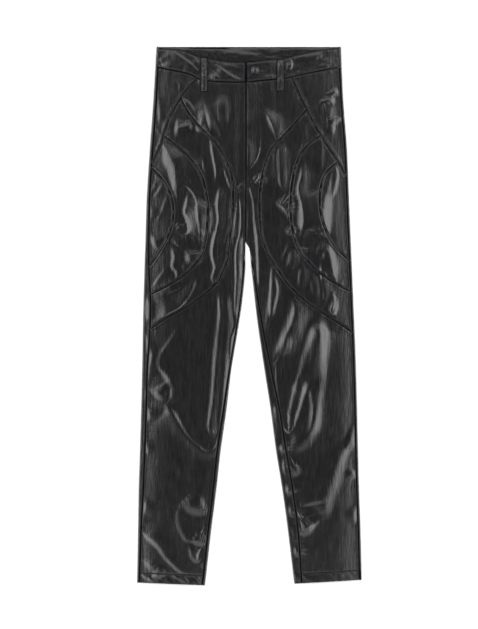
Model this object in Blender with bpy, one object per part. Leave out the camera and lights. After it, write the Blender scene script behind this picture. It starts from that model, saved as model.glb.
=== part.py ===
"""Black faux leather trousers, high waist and narrow ankle-length legs, laid flat with the front up.

Sizes are millimetres. "down" is measured from the waist's top edge towards the hems, "out" from the
middle towards each side, and height from the surface that the trousers lie on. The legs are named as
their wearer has them, so the right leg is at -X. Each front is cut in five pieces: a main piece, a hip
side above a slanting seam, and three pieces inside one another that three round seams part.
"""

import math

import bmesh
import bpy
import numpy as np
from mathutils import Vector

# Driving sizes
MM = 0.001
LENGTH = 985.0  # waist's top edge to the lowest hem
WALL = 1.2  # one layer of coated cloth
BAND_WALL = 1.8  # waistband, doubled cloth
SEAM_GAP = 0.3
EDGE_ROUND = 1.6  # outer radius where the back piece turns over to the front
BAND_ROUND = 2.0  # the same on the waistband
PUFF = 1.6  # how far the front stands off the back between the edges
PUFF_REACH = 13.0  # how far in from an edge that takes
FOLD_LIMIT = 1.5  # most that folds add or take away
BAND_PUFF = 1.3
BAND_DEPTH = 36.0  # waistband's width at the side
ROW_STEP = 19.0
BENDING = (335.0, 620.0)  # where the leg's edges bend most, so the back keeps every row
TIP = 1.8  # width at which a pointed piece is cut off
CROTCH = 355.0
SEAM_LEAVES = (373.0, 385.0)  # here the inner-leg seam leaves the edge for the front
BACK_TURNS = (385.0, 425.0)  # and here the back begins to turn over that edge
TURN_TIP = 0.5
WAIST_FADE = (50.0, 130.0)  # between these the rows go from the waist seam's curve to level
HEM_FADE = (890.0, 985.0)

# Fly and its parts
FLY_END = 225.0
FLY_LIFT = 0.9
FLY_SPAN = (-16.0, 36.0)
FLY_SHIELD = dict(left=-12.0, right=30.0, top=66.0, end=222.0, low=1.7, wall=1.0)
ZIP_TAPE = dict(left=-9.0, right=16.0, top=80.0, end=214.0, low=3.0, wall=1.0)
ZIP_SLIDER = dict(width=8.0, top=68.0, end=79.0, low=2.95, wall=1.15)
BUTTON = dict(out=10.5, down=43.0, radius=8.6, height=3.3, shank=2.6)
LOOPS = {
    "belt_loop_right": dict(out=-83.0, width=13.0, top=19.0, end=82.0),
    "belt_loop_left": dict(out=56.5, width=14.0, top=22.5, end=81.0),
}
LOOP_WALL = 1.4
LOOP_RISE = 1.3

# Waistband: down of its top edge and of its lower seam, by place from the wearer's right to left
#         x,   top, seam
BAND_EDGES = (
    (-170, 1.8, 36.0),
    (-150, 3.0, 40.5),
    (-127, 4.6, 45.0),
    (-109, 11.0, 49.5),
    (-91, 18.3, 58.0),
    (-72, 22.0, 62.0),
    (-34, 27.0, 64.0),
    (-6, 27.5, 64.0),
    (23, 24.7, 61.0),
    (65, 20.0, 57.0),
    (92, 12.8, 51.0),
    (129, 5.5, 43.5),
    (168, 0.9, 36.0),
)

# Hem: down of each leg's lower edge by place
#        x, down
HEM = ((-206, 980.0), (-81, 985.0), (82, 982.0), (206, 975.0))

# The middle line of the front and back, which the crotch ends
#          down, x
MIDDLE = ((0, -5.0), (64, -6.3), (225, -6.3), (355, -7.6), (400, -7.6))

# One row for each section of a leg: the outer and inner edge of the flat leg, and how far in from
# them the side seam and the inner-leg seam lie on the front
#   down, outer, inner, side_in, inner_in
RIGHT_LEG = (
    (0, 169.6, 7.6, 4.0, 2.6),
    (97, 175.4, 7.6, 5.0, 2.6),
    (198, 182.7, 7.6, 5.0, 2.6),
    (280, 187.7, 7.6, 5.0, 2.6),
    (355, 190.0, 7.6, 6.0, 2.6),
    (408, 191.8, 8.1, 8.0, 2.6),
    (463, 193.5, 13.3, 12.5, 2.6),
    (518, 194.6, 21.4, 12.5, 2.6),
    (591, 196.0, 33.6, 9.0, 2.8),
    (664, 197.8, 42.4, 9.0, 5.0),
    (738, 200.0, 52.8, 8.5, 6.0),
    (811, 202.3, 61.0, 8.0, 5.5),
    (884, 203.5, 70.2, 5.2, 5.0),
    (985, 205.4, 81.7, 3.8, 4.5),
)
LEFT_LEG = (
    (0, 167.0, -7.6, 3.6, 2.6),
    (97, 171.4, -7.6, 3.6, 2.6),
    (189, 178.3, -7.6, 3.6, 2.6),
    (280, 182.0, -7.6, 3.6, 2.6),
    (355, 185.1, -7.6, 3.6, 2.6),
    (366, 185.6, -0.8, 3.6, 2.6),
    (390, 186.7, 2.3, 3.6, 3.0),
    (426, 188.2, 6.1, 3.6, 3.8),
    (500, 191.3, 14.5, 3.6, 7.5),
    (536, 192.8, 19.7, 3.6, 9.0),
    (591, 194.8, 27.9, 3.6, 12.0),
    (664, 196.7, 39.3, 3.6, 15.5),
    (738, 198.4, 49.0, 3.6, 18.0),
    (811, 200.3, 60.7, 3.6, 18.5),
    (884, 202.9, 70.7, 3.6, 18.0),
    (985, 205.4, 82.8, 3.6, 13.0),
)

# Seams that cut each front: the slanting seam and the three round ones, largest first
#   down, out
RIGHT_SEAMS = {
    "slant": ((50, 90.0), (59, 97.8), (75, 114.3), (106, 134.4), (139, 150.9), (176, 161.9), (221, 182.0)),
    "outer": (
        (93, 125.3), (112, 116.1), (141, 94.2), (176, 61.2), (209, 41.1), (245, 30.1), (307, 29.6),
        (353, 35.6), (393, 41.1), (415, 50.2), (434, 61.2), (459, 90.5), (483, 127.1), (498, 154.5),
        (518, 184.0),
    ),
    "middle": (
        (163, 154.5), (185, 127.1), (209, 103.3), (240, 85.0), (280, 75.9), (307, 74.9), (353, 79.5),
        (390, 92.3), (415, 116.1), (437, 149.0), (455, 186.0),
    ),
    "inner": (
        (221, 178.3), (242, 158.2), (269, 143.6), (304, 138.0), (340, 145.4), (377, 165.5), (406, 186.0),
    ),
}
LEFT_SEAMS = {
    "slant": ((50, 74.0), (59, 79.7), (95, 96.2), (132, 114.5), (170, 136.4), (209, 162.0), (245, 181.0)),
    "outer": (
        (113, 105.3), (148, 74.2), (176, 48.6), (189, 37.6), (234, 23.0), (280, 17.5), (326, 19.3),
        (362, 26.6), (404, 48.6), (439, 74.2), (472, 110.8), (496, 147.4), (516, 178.5), (526, 192.0),
    ),
    "middle": (
        (161, 130.9), (178, 107.0), (203, 88.8), (243, 77.9), (289, 74.2), (335, 77.9), (372, 90.7),
        (401, 114.5), (425, 143.8), (441, 171.2), (449, 190.0),
    ),
    "inner": (
        (210, 160.2), (229, 140.0), (258, 129.0), (298, 128.2), (335, 138.3), (366, 156.6), (396, 187.0),
    ),
}

# Largest folds of the front, each a soft ridge or trough through three places
#   x,   down,   x,  down,   x,  down, width, height
FOLDS = (
    (-152, 170, -146, 215, -152, 250, 15, 1.1),
    (-118, 250, -98, 300, -92, 360, 12, 1.2),
    (-128, 270, -126, 310, -118, 342, 8, -1.0),
    (-120, 368, -126, 385, -110, 410, 9, 0.9),
    (-58, 265, -64, 350, -60, 430, 11, 1.2),
    (-60, 445, -62, 560, -78, 700, 12, 1.4),
    (-42, 450, -46, 545, -52, 640, 10, -1.0),
    (-28, 245, -22, 390, -34, 540, 9, 0.9),
    (-96, 415, -106, 460, -150, 492, 10, 0.9),
    (-130, 510, -168, 580, -142, 652, 11, 1.1),
    (-186, 622, -128, 690, -62, 738, 13, 1.3),
    (-150, 655, -110, 700, -78, 712, 10, -0.9),
    (-100, 775, -84, 785, -66, 790, 16, 1.0),
    (-131, 820, -126, 890, -92, 940, 9, 1.1),
    (-196, 886, -152, 928, -108, 965, 12, 1.1),
    (-188, 950, -175, 962, -165, 968, 10, 0.8),
    (-80, 95, -76, 145, -60, 230, 11, 0.9),
    (30, 120, 40, 150, 50, 175, 12, 1.2),
    (96, 210, 90, 290, 96, 362, 10, 1.1),
    (160, 215, 150, 270, 152, 350, 13, 1.1),
    (135, 340, 125, 385, 140, 440, 11, 0.9),
    (78, 455, 74, 530, 38, 575, 11, 1.3),
    (40, 410, 42, 450, 38, 500, 9, -1.0),
    (122, 500, 96, 600, 70, 705, 14, 1.5),
    (150, 520, 136, 640, 82, 742, 13, 1.4),
    (125, 560, 112, 640, 92, 700, 9, -1.2),
    (190, 690, 168, 760, 140, 860, 15, 1.3),
    (165, 90, 150, 130, 168, 175, 10, 0.9),
)

# Materials: base colour, roughness, metallic
LEATHER = ((0.012, 0.012, 0.014), 0.32, 0.0)
TAPE = ((0.010, 0.010, 0.011), 0.85, 0.0)
GUNMETAL = ((0.045, 0.045, 0.050), 0.28, 1.0)


def ease(value, low, high):
    """0 at low, 1 at high, and smooth between."""
    share = np.clip((np.asarray(value, float) - low) / (high - low), 0.0, 1.0)
    return share * share * (3.0 - 2.0 * share)


def along(rows, column, at):
    """A column of a table at any place, on a smooth curve through its rows."""
    places = [row[0] for row in rows]
    values = [row[column] for row in rows]
    at = min(max(at, places[0]), places[-1])
    last = len(places) - 1
    k = min(max(int(np.searchsorted(places, at, side="right")) - 1, 0), last - 1)
    slopes = []
    for i in (k, k + 1):
        before, after = max(i - 1, 0), min(i + 1, last)
        slopes.append((values[after] - values[before]) / (places[after] - places[before]))
    span = places[k + 1] - places[k]
    t = (at - places[k]) / span
    return (
        (2 * t**3 - 3 * t**2 + 1) * values[k]
        + (t**3 - 2 * t**2 + t) * span * slopes[0]
        + (3 * t**2 - 2 * t**3) * values[k + 1]
        + (t**3 - t**2) * span * slopes[1]
    )


def middle(down):
    return along(MIDDLE, 1, down)


def down_at(x, row, back=False):
    """Where a row lies at x: it follows the waistband's seam at the top and the hem at the end."""
    waist_seam = BAND_DEPTH if back else along(BAND_EDGES, 2, x)
    to_waist = (waist_seam - WAIST_FADE[0]) * (1.0 - ease(row, *WAIST_FADE))
    to_hem = (np.interp(x, *zip(*HEM)) - HEM_FADE[1]) * ease(row, *HEM_FADE)
    return row + float(to_waist) + float(to_hem)


class Leg:
    """One leg. Its lines give "out", which grows from the middle to the side on both legs."""

    def __init__(self, name, side, rows, seams):
        self.name = name
        self.side = side  # -1 at -X, 1 at +X
        self.rows = rows
        self.seams = seams

    def outer(self, down):
        return along(self.rows, 1, down)

    def inner(self, down):
        if down <= CROTCH:
            return self.side * middle(down)
        return along(self.rows, 2, down)

    def side_seam(self, down):
        return self.outer(down) - along(self.rows, 3, down)

    def inner_seam(self, down):
        if down <= CROTCH:
            return self.inner(down)
        return self.inner(down) + along(self.rows, 4, down) * float(ease(down, *SEAM_LEAVES))

    def seam(self, which, down):
        """A cutting seam, or no line at all above and below it."""
        points = self.seams[which]
        if down < points[0][0] or down > points[-1][0]:
            return math.inf
        return along(points, 1, down)

    def line(self, names, down):
        """The one of several lines that lies nearest to the middle."""
        found = []
        for name in names:
            if name == "side":
                found.append(self.side_seam(down))
            elif name == "inner_leg":
                found.append(self.inner_seam(down))
            else:
                found.append(self.seam(name, down))
        return min(found)

    def on_row(self, line, row):
        """Out and down of the place where a line crosses a row."""
        out = 100.0
        for _ in range(6):
            down = down_at(self.side * out, row)
            out = line(down)
        return out, down

    def edge(self, names, row, shift):
        """A piece's edge at a row, moved half a seam's gap square to the line."""
        out, down = self.on_row(lambda at: self.line(names, at), row)
        step = 0.5
        slope = (self.line(names, down + step) - self.line(names, down - step)) / (2 * step)
        if not math.isfinite(slope):
            slope = 0.0
        return out + shift * math.hypot(1.0, slope) * SEAM_GAP / 2


def fold_paths():
    paths = []
    for x0, d0, x1, d1, x2, d2, width, height in FOLDS:
        t = np.linspace(0.0, 1.0, 25)[:, None]
        start, mid, end = (np.array(p, float) for p in ((x0, d0), (x1, d1), (x2, d2)))
        # The middle place is on the curve, so the curve's handle lies past it.
        handle = 2 * mid - (start + end) / 2
        points = (1 - t) ** 2 * start + 2 * t * (1 - t) * handle + t**2 * end
        paths.append((points, np.sin(np.pi * np.linspace(0.04, 0.96, 25)) ** 0.6, width, height))
    return paths


PATHS = fold_paths()


def folds(x, down):
    total = 0.0
    for points, strength, width, height in PATHS:
        apart = np.hypot(points[:, 0] - x, points[:, 1] - down)
        total += height * float(np.max(strength * np.exp(-((apart / width) ** 2))))
    return FOLD_LIMIT * math.tanh(total / FOLD_LIMIT)


def puff(leg, x, down):
    """0 at the leg's edges and 1 between them."""
    out = leg.side * x
    from_side = leg.outer(down) - out
    if down > CROTCH:
        from_inner = out - leg.inner(down)
    else:
        from_inner = math.hypot(x - middle(CROTCH), down - CROTCH)
    near = max(min(from_side, from_inner) - EDGE_ROUND, 0.0)
    return 1.0 - math.exp(-((near / PUFF_REACH) ** 2))


def fly(x, down):
    """1 over the fly's layers, 0 away from them."""
    across = ease(x, FLY_SPAN[0] - 14, FLY_SPAN[0]) * (1 - ease(x, FLY_SPAN[1], FLY_SPAN[1] + 14))
    return float(across * (1 - ease(down, FLY_END + 4, FLY_END + 34)))


def front_height(leg, x, down):
    share = puff(leg, x, down)
    lift = fly(x, down)
    return 2 * EDGE_ROUND + share * (PUFF + folds(x, down) * (1 - 0.85 * lift) + FLY_LIFT * lift)


def principled(name, look):
    colour, roughness, metallic = look
    material = bpy.data.materials.new(name)
    material.use_nodes = True
    shader = material.node_tree.nodes["Principled BSDF"]
    shader.inputs["Base Color"].default_value = (*colour, 1.0)
    shader.inputs["Roughness"].default_value = roughness
    shader.inputs["Metallic"].default_value = metallic
    material.diffuse_color = (*colour, 1.0)
    return material


def place(x, down, height):
    return Vector((x * MM, (LENGTH / 2 - down) * MM, height * MM))


def wall(name, outer, inner, look):
    """A closed wall between two grids of points of like size, an object of its own."""
    mesh = bmesh.new()
    rows, columns = len(outer), len(outer[0])
    skins = [[[mesh.verts.new(place(*p)) for p in row] for row in grid] for grid in (outer, inner)]
    for skin in skins:
        for r in range(rows - 1):
            for c in range(columns - 1):
                mesh.faces.new((skin[r][c], skin[r][c + 1], skin[r + 1][c + 1], skin[r + 1][c]))
    rim = [(0, c) for c in range(columns)]
    rim += [(r, columns - 1) for r in range(1, rows)]
    rim += [(rows - 1, c) for c in range(columns - 2, -1, -1)]
    rim += [(r, 0) for r in range(rows - 2, 0, -1)]
    for here, there in zip(rim, rim[1:] + rim[:1]):
        (r0, c0), (r1, c1) = here, there
        mesh.faces.new((skins[0][r0][c0], skins[0][r1][c1], skins[1][r1][c1], skins[1][r0][c0]))
    return finish(name, mesh, look)


def finish(name, mesh, look):
    bmesh.ops.recalc_face_normals(mesh, faces=mesh.faces)
    data = bpy.data.meshes.new(name)
    mesh.to_mesh(data)
    mesh.free()
    data.shade_smooth()
    data.set_sharp_from_angle(angle=math.radians(40))
    data.materials.append(principled(name + "_finish", look))
    thing = bpy.data.objects.new(name, data)
    bpy.context.scene.collection.objects.link(thing)
    return thing


def junctions(leg):
    """The rows where seams start, end or meet, which every piece of the leg shares."""
    found = set()
    scan = np.arange(WAIST_FADE[0], LENGTH, 0.5)
    for first, second in (
        ("slant", "outer"), ("slant", "middle"), ("slant", "inner"),
        ("slant", "side"), ("outer", "side"), ("middle", "side"), ("inner", "side"),
    ):
        gaps = [leg.line([first], d) - leg.line([second], d) for d in scan]
        for a, b, down in zip(gaps, gaps[1:], scan):
            if math.isfinite(a) and math.isfinite(b) and a * b <= 0:
                found.add(float(down))
    for which in ("outer", "middle", "inner"):
        found.add(leg.seams[which][0][0])
    return sorted(found)


def leg_rows(leg):
    rows = [WAIST_FADE[0] + 0.15, LENGTH - 0.01]
    rows += [CROTCH, CROTCH + 4, CROTCH + 11, *SEAM_LEAVES, 397.0, 411.0, BACK_TURNS[1]]
    rows += [row + shift for row in junctions(leg) for shift in (0.0, 2.5)]
    for row in np.arange(WAIST_FADE[0] + ROW_STEP, LENGTH - ROW_STEP / 2, ROW_STEP):
        if min(abs(row - other) for other in rows) > ROW_STEP * 0.34:
            rows.append(float(row))
    return sorted(set(rows))


def back_rows(leg):
    """The same rows, with about every second one left out where the edges are nearly straight."""
    rows = LEG_ROWS[leg.name]
    kept = [rows[0]]
    for row in rows[1:-1]:
        if BENDING[0] < row < BENDING[1] or row - kept[-1] > 1.6 * ROW_STEP:
            kept.append(row)
    return [*kept, rows[-1]]


def front_piece(leg, name, inner, outer, columns):
    """A piece of the front between two lines, over the rows where it is wide enough."""
    grid = []
    for row in LEG_ROWS[leg.name]:
        near = leg.edge(inner, row, 1)
        far = leg.edge(outer, row, -1)
        if far - near < TIP or not math.isfinite(near):
            if grid:
                break
            continue
        line = []
        for share in np.linspace(0.0, 1.0, columns + 1):
            x = leg.side * (near + (far - near) * share)
            down = down_at(x, row)
            line.append((x, down, front_height(leg, x, down)))
        grid.append(line)
    under = [[(x, down, height - WALL) for x, down, height in line] for line in grid]
    return wall(f"{name}_{leg.name}", grid, under, LEATHER)


def turned_edge(out, sign, radius, thick, seam, top, turn=1.0):
    """Outer and inner points that go from the underside round an edge and on to a seam on the front.

    sign is 1 where the cloth reaches outwards, top(out) is the front's height there, and turn is 1
    where the cloth is turned right over and 0 where it lies flat and ends at the edge."""
    length = math.pi * radius
    sweep = math.pi * max(turn, 0.001)
    bend = length / sweep
    reach = bend if turn >= 0.5 else bend * math.sin(sweep) + TURN_TIP * math.cos(sweep)
    start = out - sign * reach
    skins = []
    for r in (bend, bend - thick):
        points = []
        for share in (0.0, 0.28, 0.52, 0.76, 1.0):
            a = sweep * share
            points.append((start + sign * r * math.sin(a), bend - r * math.cos(a)))
        at, height = points[-1]
        points.append((at + sign * TURN_TIP * math.cos(sweep), height + TURN_TIP * math.sin(sweep)))
        skins.append(points)
    if turn >= 1.0:
        end = seam + sign * SEAM_GAP / 2
        skins[0][-1] = (end, top(end))
        skins[1][-1] = (end, top(end) - thick)
    return skins


def back_piece(leg):
    """A back, which turns over the side and the inner leg to the front's seams."""
    outer_grid, inner_grid = [], []
    for row in back_rows(leg):
        out, side_down = leg.on_row(leg.outer, row)
        near, inner_down = leg.on_row(leg.inner, row)
        seam, _ = leg.on_row(leg.side_seam, row)
        inner_seam, _ = leg.on_row(leg.inner_seam, row)

        def side_top(at, down=side_down):
            return front_height(leg, leg.side * at, down)

        def inner_top(at, down=inner_down):
            return front_height(leg, leg.side * at, down)

        far_outer, far_inner = turned_edge(out, 1, EDGE_ROUND, WALL, seam, side_top)
        turn = min(max((row - BACK_TURNS[0]) / (BACK_TURNS[1] - BACK_TURNS[0]), 0.0), 1.0)
        near += SEAM_GAP / 2 * (turn == 0.0)
        near_outer, near_inner = turned_edge(near, -1, EDGE_ROUND, WALL, inner_seam, inner_top, turn)
        start, stop = near_outer[0][0], far_outer[0][0]
        between = [start + (stop - start) * share for share in (0.33, 0.67)]
        for grid, first, last, height in (
            (outer_grid, near_outer, far_outer, 0.0),
            (inner_grid, near_inner, far_inner, WALL),
        ):
            section = first[::-1] + [(at, height) for at in between] + last
            grid.append([(leg.side * at, down_at(leg.side * at, row, back=True), z) for at, z in section])
    return wall(f"back_{leg.name}", outer_grid, inner_grid, LEATHER)


def band_height(x):
    """The top of the waistband, which the lap over the middle lifts."""
    leg = LEGS[0] if x < middle(0) else LEGS[1]
    near = max(leg.outer(20) - leg.side * x - BAND_ROUND, 0.0)
    share = 1.0 - math.exp(-((near / PUFF_REACH) ** 2))
    return 2 * BAND_ROUND + share * BAND_PUFF


def band_front(name, leg, columns, height):
    """A waistband front, from its side seam to the middle."""
    grid, under = [], []
    for x in columns:
        high = along(BAND_EDGES, 1, x)
        low = along(BAND_EDGES, 2, x) - SEAM_GAP
        near_seam = float(ease(leg.side * x, leg.side_seam(20) - 30, leg.side_seam(20) - 1))
        line = []
        for share in (0.0, 0.06, 0.35, 0.65, 0.94, 1.0):
            down = high + (low - high) * share
            lean = leg.side * (leg.side_seam(down) - leg.side_seam(20)) * near_seam
            dip = 0.35 * (abs(share - 0.5) > 0.45)
            line.append((x + lean, down, height(x) - dip))
        grid.append(line)
        under.append([(x, down, height(x) - BAND_WALL) for x, down, _ in line])
    return wall(name, grid, under, LEATHER)


def lap_height(x):
    """The wearer's left front lies over the right at the middle."""
    return band_height(x) + 0.85 * float(1 - ease(x, 34, 52))


def underlap_height(x):
    return band_height(x) + (lap_height(8) - BAND_WALL - SEAM_GAP - band_height(8)) * float(ease(x, -14, -7))


def waistband():
    right, left = LEGS
    from_right = -right.side_seam(20) + SEAM_GAP / 2
    from_left = left.side_seam(20) - SEAM_GAP / 2
    right_columns = [*np.linspace(from_right, -20, 13), -14, -10.5, -7, 6, 22]
    left_columns = [-4.5, 8, 20, 34, 43, *np.linspace(52, from_left, 10)]
    band_front("waistband_front_right", right, right_columns, underlap_height)
    band_front("waistband_front_left", left, left_columns, lap_height)
    sections = []
    for row in (0.0, 10.0, 19.0, 28.0, BAND_DEPTH - SEAM_GAP / 2):
        ends = []
        for leg in LEGS:
            def top(at, side=leg.side):
                return band_height(side * at)

            ends.append(turned_edge(leg.outer(row), 1, BAND_ROUND, BAND_WALL, leg.side_seam(row), top))
        across = np.linspace(-ends[0][0][0][0], ends[1][0][0][0], 10)[1:-1]
        grids = []
        for skin, height in ((0, 0.0), (1, BAND_WALL)):
            line = [(-at, row, z) for at, z in ends[0][skin][::-1]]
            line += [(x, row, height) for x in across]
            line += [(at, row, z) for at, z in ends[1][skin]]
            grids.append(line)
        sections.append(grids)
    return wall("waistband_back", [s[0] for s in sections], [s[1] for s in sections], LEATHER)


def belt_loop(name, out, width, top, end):
    """A strip over the waistband, held at both ends and standing a little off between them."""
    leg = LEGS[0] if out < 0 else LEGS[1]
    grid, under = [], []
    for share in np.linspace(0.0, 1.0, 11):
        down = top + (end - top) * share
        on_band = band_height(out) if out < 0 else lap_height(out)
        over = 1 - ease(down, along(BAND_EDGES, 2, out) - 1, along(BAND_EDGES, 2, out) + 9)
        panel = front_height(leg, out, down) + 0.5
        base = on_band * over + panel * (1 - over) + SEAM_GAP
        rise = LOOP_RISE * math.sin(math.pi * share) ** 0.8
        line, low = [], []
        for across in (-1.0, -0.86, -0.3, 0.3, 0.86, 1.0):
            x = out + across * width / 2
            crown = 0.25 if abs(across) < 0.9 else 0.0
            line.append((x, down, float(base) + rise + LOOP_WALL + crown - 0.25))
            low.append((x, down, float(base) + rise))
        grid.append(line)
        under.append(low)
    return wall(name, grid, under, LEATHER)


def fly_strip(name, look, left, right, top, end, low, wall_thickness):
    """A plain strip inside the fly, rounded towards its lower end."""
    grid, under = [], []
    for share in (0.0, 0.2, 0.4, 0.6, 0.75, 0.88, 1.0):
        down = top + (end - top) * share
        narrowing = (right - left) * 0.35 * float(ease(share, 0.6, 1.0))
        line = [(x, down, low + wall_thickness) for x in np.linspace(left, right - narrowing, 4)]
        grid.append(line)
        under.append([(x, d, low) for x, d, _ in line])
    return wall(name, grid, under, look)


def turned(name, profile, out, down, base, sides, look):
    """A solid turned about an upright axis, from (radius, height) down its outside."""
    mesh = bmesh.new()
    rings = []
    for radius, height in profile:
        centre = place(out, down, base + height)
        if radius == 0:
            rings.append([mesh.verts.new(centre)])
            continue
        ring = []
        for k in range(sides):
            a = 2 * math.pi * k / sides
            ring.append(mesh.verts.new(centre + Vector((math.cos(a), math.sin(a), 0)) * radius * MM))
        rings.append(ring)
    for upper, lower in zip(rings, rings[1:]):
        for k in range(sides):
            here = (upper[k % len(upper)], lower[k % len(lower)])
            there = (lower[(k + 1) % sides % len(lower)], upper[(k + 1) % sides % len(upper)])
            mesh.faces.new(list(dict.fromkeys(here + there)))
    return finish(name, mesh, look)


def button():
    radius, height, shank = BUTTON["radius"], BUTTON["height"], BUTTON["shank"]
    profile = [
        (0.0, height),
        (radius * 0.45, height - 0.15),
        (radius * 0.74, height - 0.45),
        (radius * 0.80, height - 0.75),
        (radius * 0.90, height - 0.45),
        (radius * 0.985, height - 0.75),
        (radius, height - 1.3),
        (radius * 0.93, height - 1.8),
        (shank + 1.2, height - 1.9),
        (shank, height - 2.2),
        (shank, 0.0),
        (0.0, 0.0),
    ]
    base = lap_height(BUTTON["out"]) + SEAM_GAP
    return turned("button", profile, BUTTON["out"], BUTTON["down"], base, 28, GUNMETAL)


def clear_scene():
    for thing in list(bpy.data.objects):
        bpy.data.objects.remove(thing, do_unlink=True)


LEGS = (Leg("right", -1, RIGHT_LEG, RIGHT_SEAMS), Leg("left", 1, LEFT_LEG, LEFT_SEAMS))
LEG_ROWS = {leg.name: leg_rows(leg) for leg in LEGS}


def main():
    clear_scene()
    for leg in LEGS:
        front_piece(leg, "front_main", ["inner_leg"], ["side", "slant", "outer"], 9)
        front_piece(leg, "hip_side", ["slant"], ["side"], 4)
        front_piece(leg, "outer_round", ["outer"], ["side", "slant", "middle"], 4)
        front_piece(leg, "middle_round", ["middle"], ["side", "slant", "inner"], 4)
        front_piece(leg, "inner_round", ["inner"], ["side", "slant"], 4)
        back_piece(leg)
    waistband()
    for name, size in LOOPS.items():
        belt_loop(name, **size)
    for name, look, size in (
        ("fly_shield", LEATHER, FLY_SHIELD),
        ("zip_tape", TAPE, ZIP_TAPE),
    ):
        fly_strip(name, look, *(size[key] for key in ("left", "right", "top", "end", "low", "wall")))
    half = ZIP_SLIDER["width"] / 2
    fly_strip(
        "zip_slider", GUNMETAL, middle(80) - half, middle(80) + half, ZIP_SLIDER["top"], ZIP_SLIDER["end"],
        ZIP_SLIDER["low"], ZIP_SLIDER["wall"],
    )
    button()


main()
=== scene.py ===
"""Black faux leather trousers laid flat, front up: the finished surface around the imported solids.

Lengths in the tables are millimetres, and only the creases' readings are pixels of the photo. "down"
is measured from the waist's top edge towards the hems, "out" from the middle towards each side. Right
and left are the wearer's, so the right leg is at -X."""

import math

import bmesh
import bpy
import numpy as np
from bpy.props import FloatProperty, FloatVectorProperty, PointerProperty
from bpy.types import Operator, Panel, PropertyGroup
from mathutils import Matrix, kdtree


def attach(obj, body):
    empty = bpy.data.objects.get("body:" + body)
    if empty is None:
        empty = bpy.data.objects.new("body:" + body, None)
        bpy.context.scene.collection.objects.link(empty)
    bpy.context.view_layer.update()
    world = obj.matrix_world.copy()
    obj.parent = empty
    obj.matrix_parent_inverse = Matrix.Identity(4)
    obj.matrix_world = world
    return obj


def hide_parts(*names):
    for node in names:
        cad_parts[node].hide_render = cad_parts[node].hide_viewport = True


bl_info = {
    "name": "Faux leather trousers",
    "version": (1, 0, 0),
    "blender": (4, 5, 0),
    "location": "View3D > Sidebar > Trousers",
    "description": "Builds a pair of flat-laid faux leather trousers piece by piece",
    "category": "Add Mesh",
}

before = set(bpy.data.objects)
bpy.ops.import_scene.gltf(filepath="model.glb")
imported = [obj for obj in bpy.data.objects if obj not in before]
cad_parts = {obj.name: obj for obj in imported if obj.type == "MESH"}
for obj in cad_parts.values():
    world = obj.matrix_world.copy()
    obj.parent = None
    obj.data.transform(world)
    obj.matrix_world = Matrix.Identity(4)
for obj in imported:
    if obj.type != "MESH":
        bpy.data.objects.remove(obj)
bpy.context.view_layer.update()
BODY = "root"
LEATHER_NAME = "soft_faux_leather"
METAL_NAME = "gunmetal_finish"
# Painted shade: where this attribute is 1 the coating shows dark and has no gloss
SHADE = "seam_shade"  # point attribute: 1 in the sunken lines, 0 away from them

MM = 0.001
LENGTH = 985.0  # from the waist's top edge to the lowest hem
WALL = 1.2  # thickness of the cloth
BAND_WALL = 1.8  # and of the waistband
SEAM_GAP = 0.3  # between the pieces at a seam
EDGE_ROUND = 1.6  # radius of the turn at a leg's edges
BAND_ROUND = 2.0  # and at the waistband's ends
PUFF = 1.6  # how far a front stands off away from its edges
PUFF_REACH = 22.0  # how far in from an edge that takes
FOLD_REACH = 5.0  # and how far the folds take
BAND_PUFF = 1.3
BAND_REACH = 16.0
BAND_DEPTH = 36.0  # of the waistband's back
BAND_LEVEL = 20.0  # where down the waistband's ends are measured
TIP = 1.8  # a piece begins and ends where it is this wide
CROTCH = 355.0
SEAM_LEAVES = (373.0, 385.0)  # where the inner-leg seam moves in from the crotch
BACK_TURNS = (385.0, 425.0)  # where a back begins to turn over the inner leg, and where it has turned
TURN_TIP = 0.5  # cloth past a turn that isn't complete
WAIST_FADE = (50.0, 130.0)  # rows follow the waist's seam where this begins and lie level at its end
HEM_FADE = (890.0, 985.0)  # rows lie level where this begins and follow the hem at its end
FIRST_ROW, LAST_ROW = WAIST_FADE[0] + SEAM_GAP / 2, LENGTH - 0.01  # of the fronts and backs
HEM_DEPTH = 18.0  # from the lower edge to the hem's stitched line
HEM_LEVEL = 965.0  # where down the hem's width is measured
HEM_PULLS = (0.75, 0.3)  # height of the puckers above the right and the left leg's hem
FLY_SPAN = (-16.0, 36.0)
FLY_END = 225.0
FLY_LIFT = 0.6  # the fly's layers lift the fronts by this
LAP_LIFT, LAP_WIDTH = 1.0, 26.0  # height of the lap's edge, and how far in it runs out
J_STITCH = 27.0  # from the middle to the fly's stitching
J_CURVE = (170.0, 56.0, 30.0)  # where that begins to curve in, how long the curve is and how deep
CRINKLES = (16.0, 243.0, 10.0, 7.0)  # at the fly's end: past the middle, down, half width, half length
BUTTON_PLACE = (10.5, 43.0)
LOOPS = {
    "belt_loop_right": dict(out=-83.0, width=13.0, top=19.0, end=82.0),
    "belt_loop_left": dict(out=56.5, width=14.0, top=22.5, end=81.0),
}
LOOP_WALL = 1.4
LOOP_RISE = 1.3  # how far a loop stands off the waistband at its middle
LOOP_CALM = (0.9, 5.0, 12.0)  # how much a loop smooths the cloth, and how far beside and below it
LOOP_SHADE = 0.15  # painted shade: the loops are a little duller and darker all over
BAND_STITCH = 2.2  # from the waistband's edges to its stitched lines
STITCH_ASIDE = 0.2  # a rib's stitched line lies this far beyond the rib
STITCH_LIFT = 0.12  # the thread's middle lies this high over the cloth
GLOSS = 0.62  # specular level of the coating
DULL = 0.6  # roughness in the sunken lines
BACK_STEP = 2.4  # between a back's rows
CLOSE_ZONE = 11.0  # points lie closer than this to an edge more densely
STRIDE = 4  # a wall's hidden inside has one point for this many of the outside's
COARSE = (slice(None, None, STRIDE), slice(None, None, STRIDE))

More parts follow.
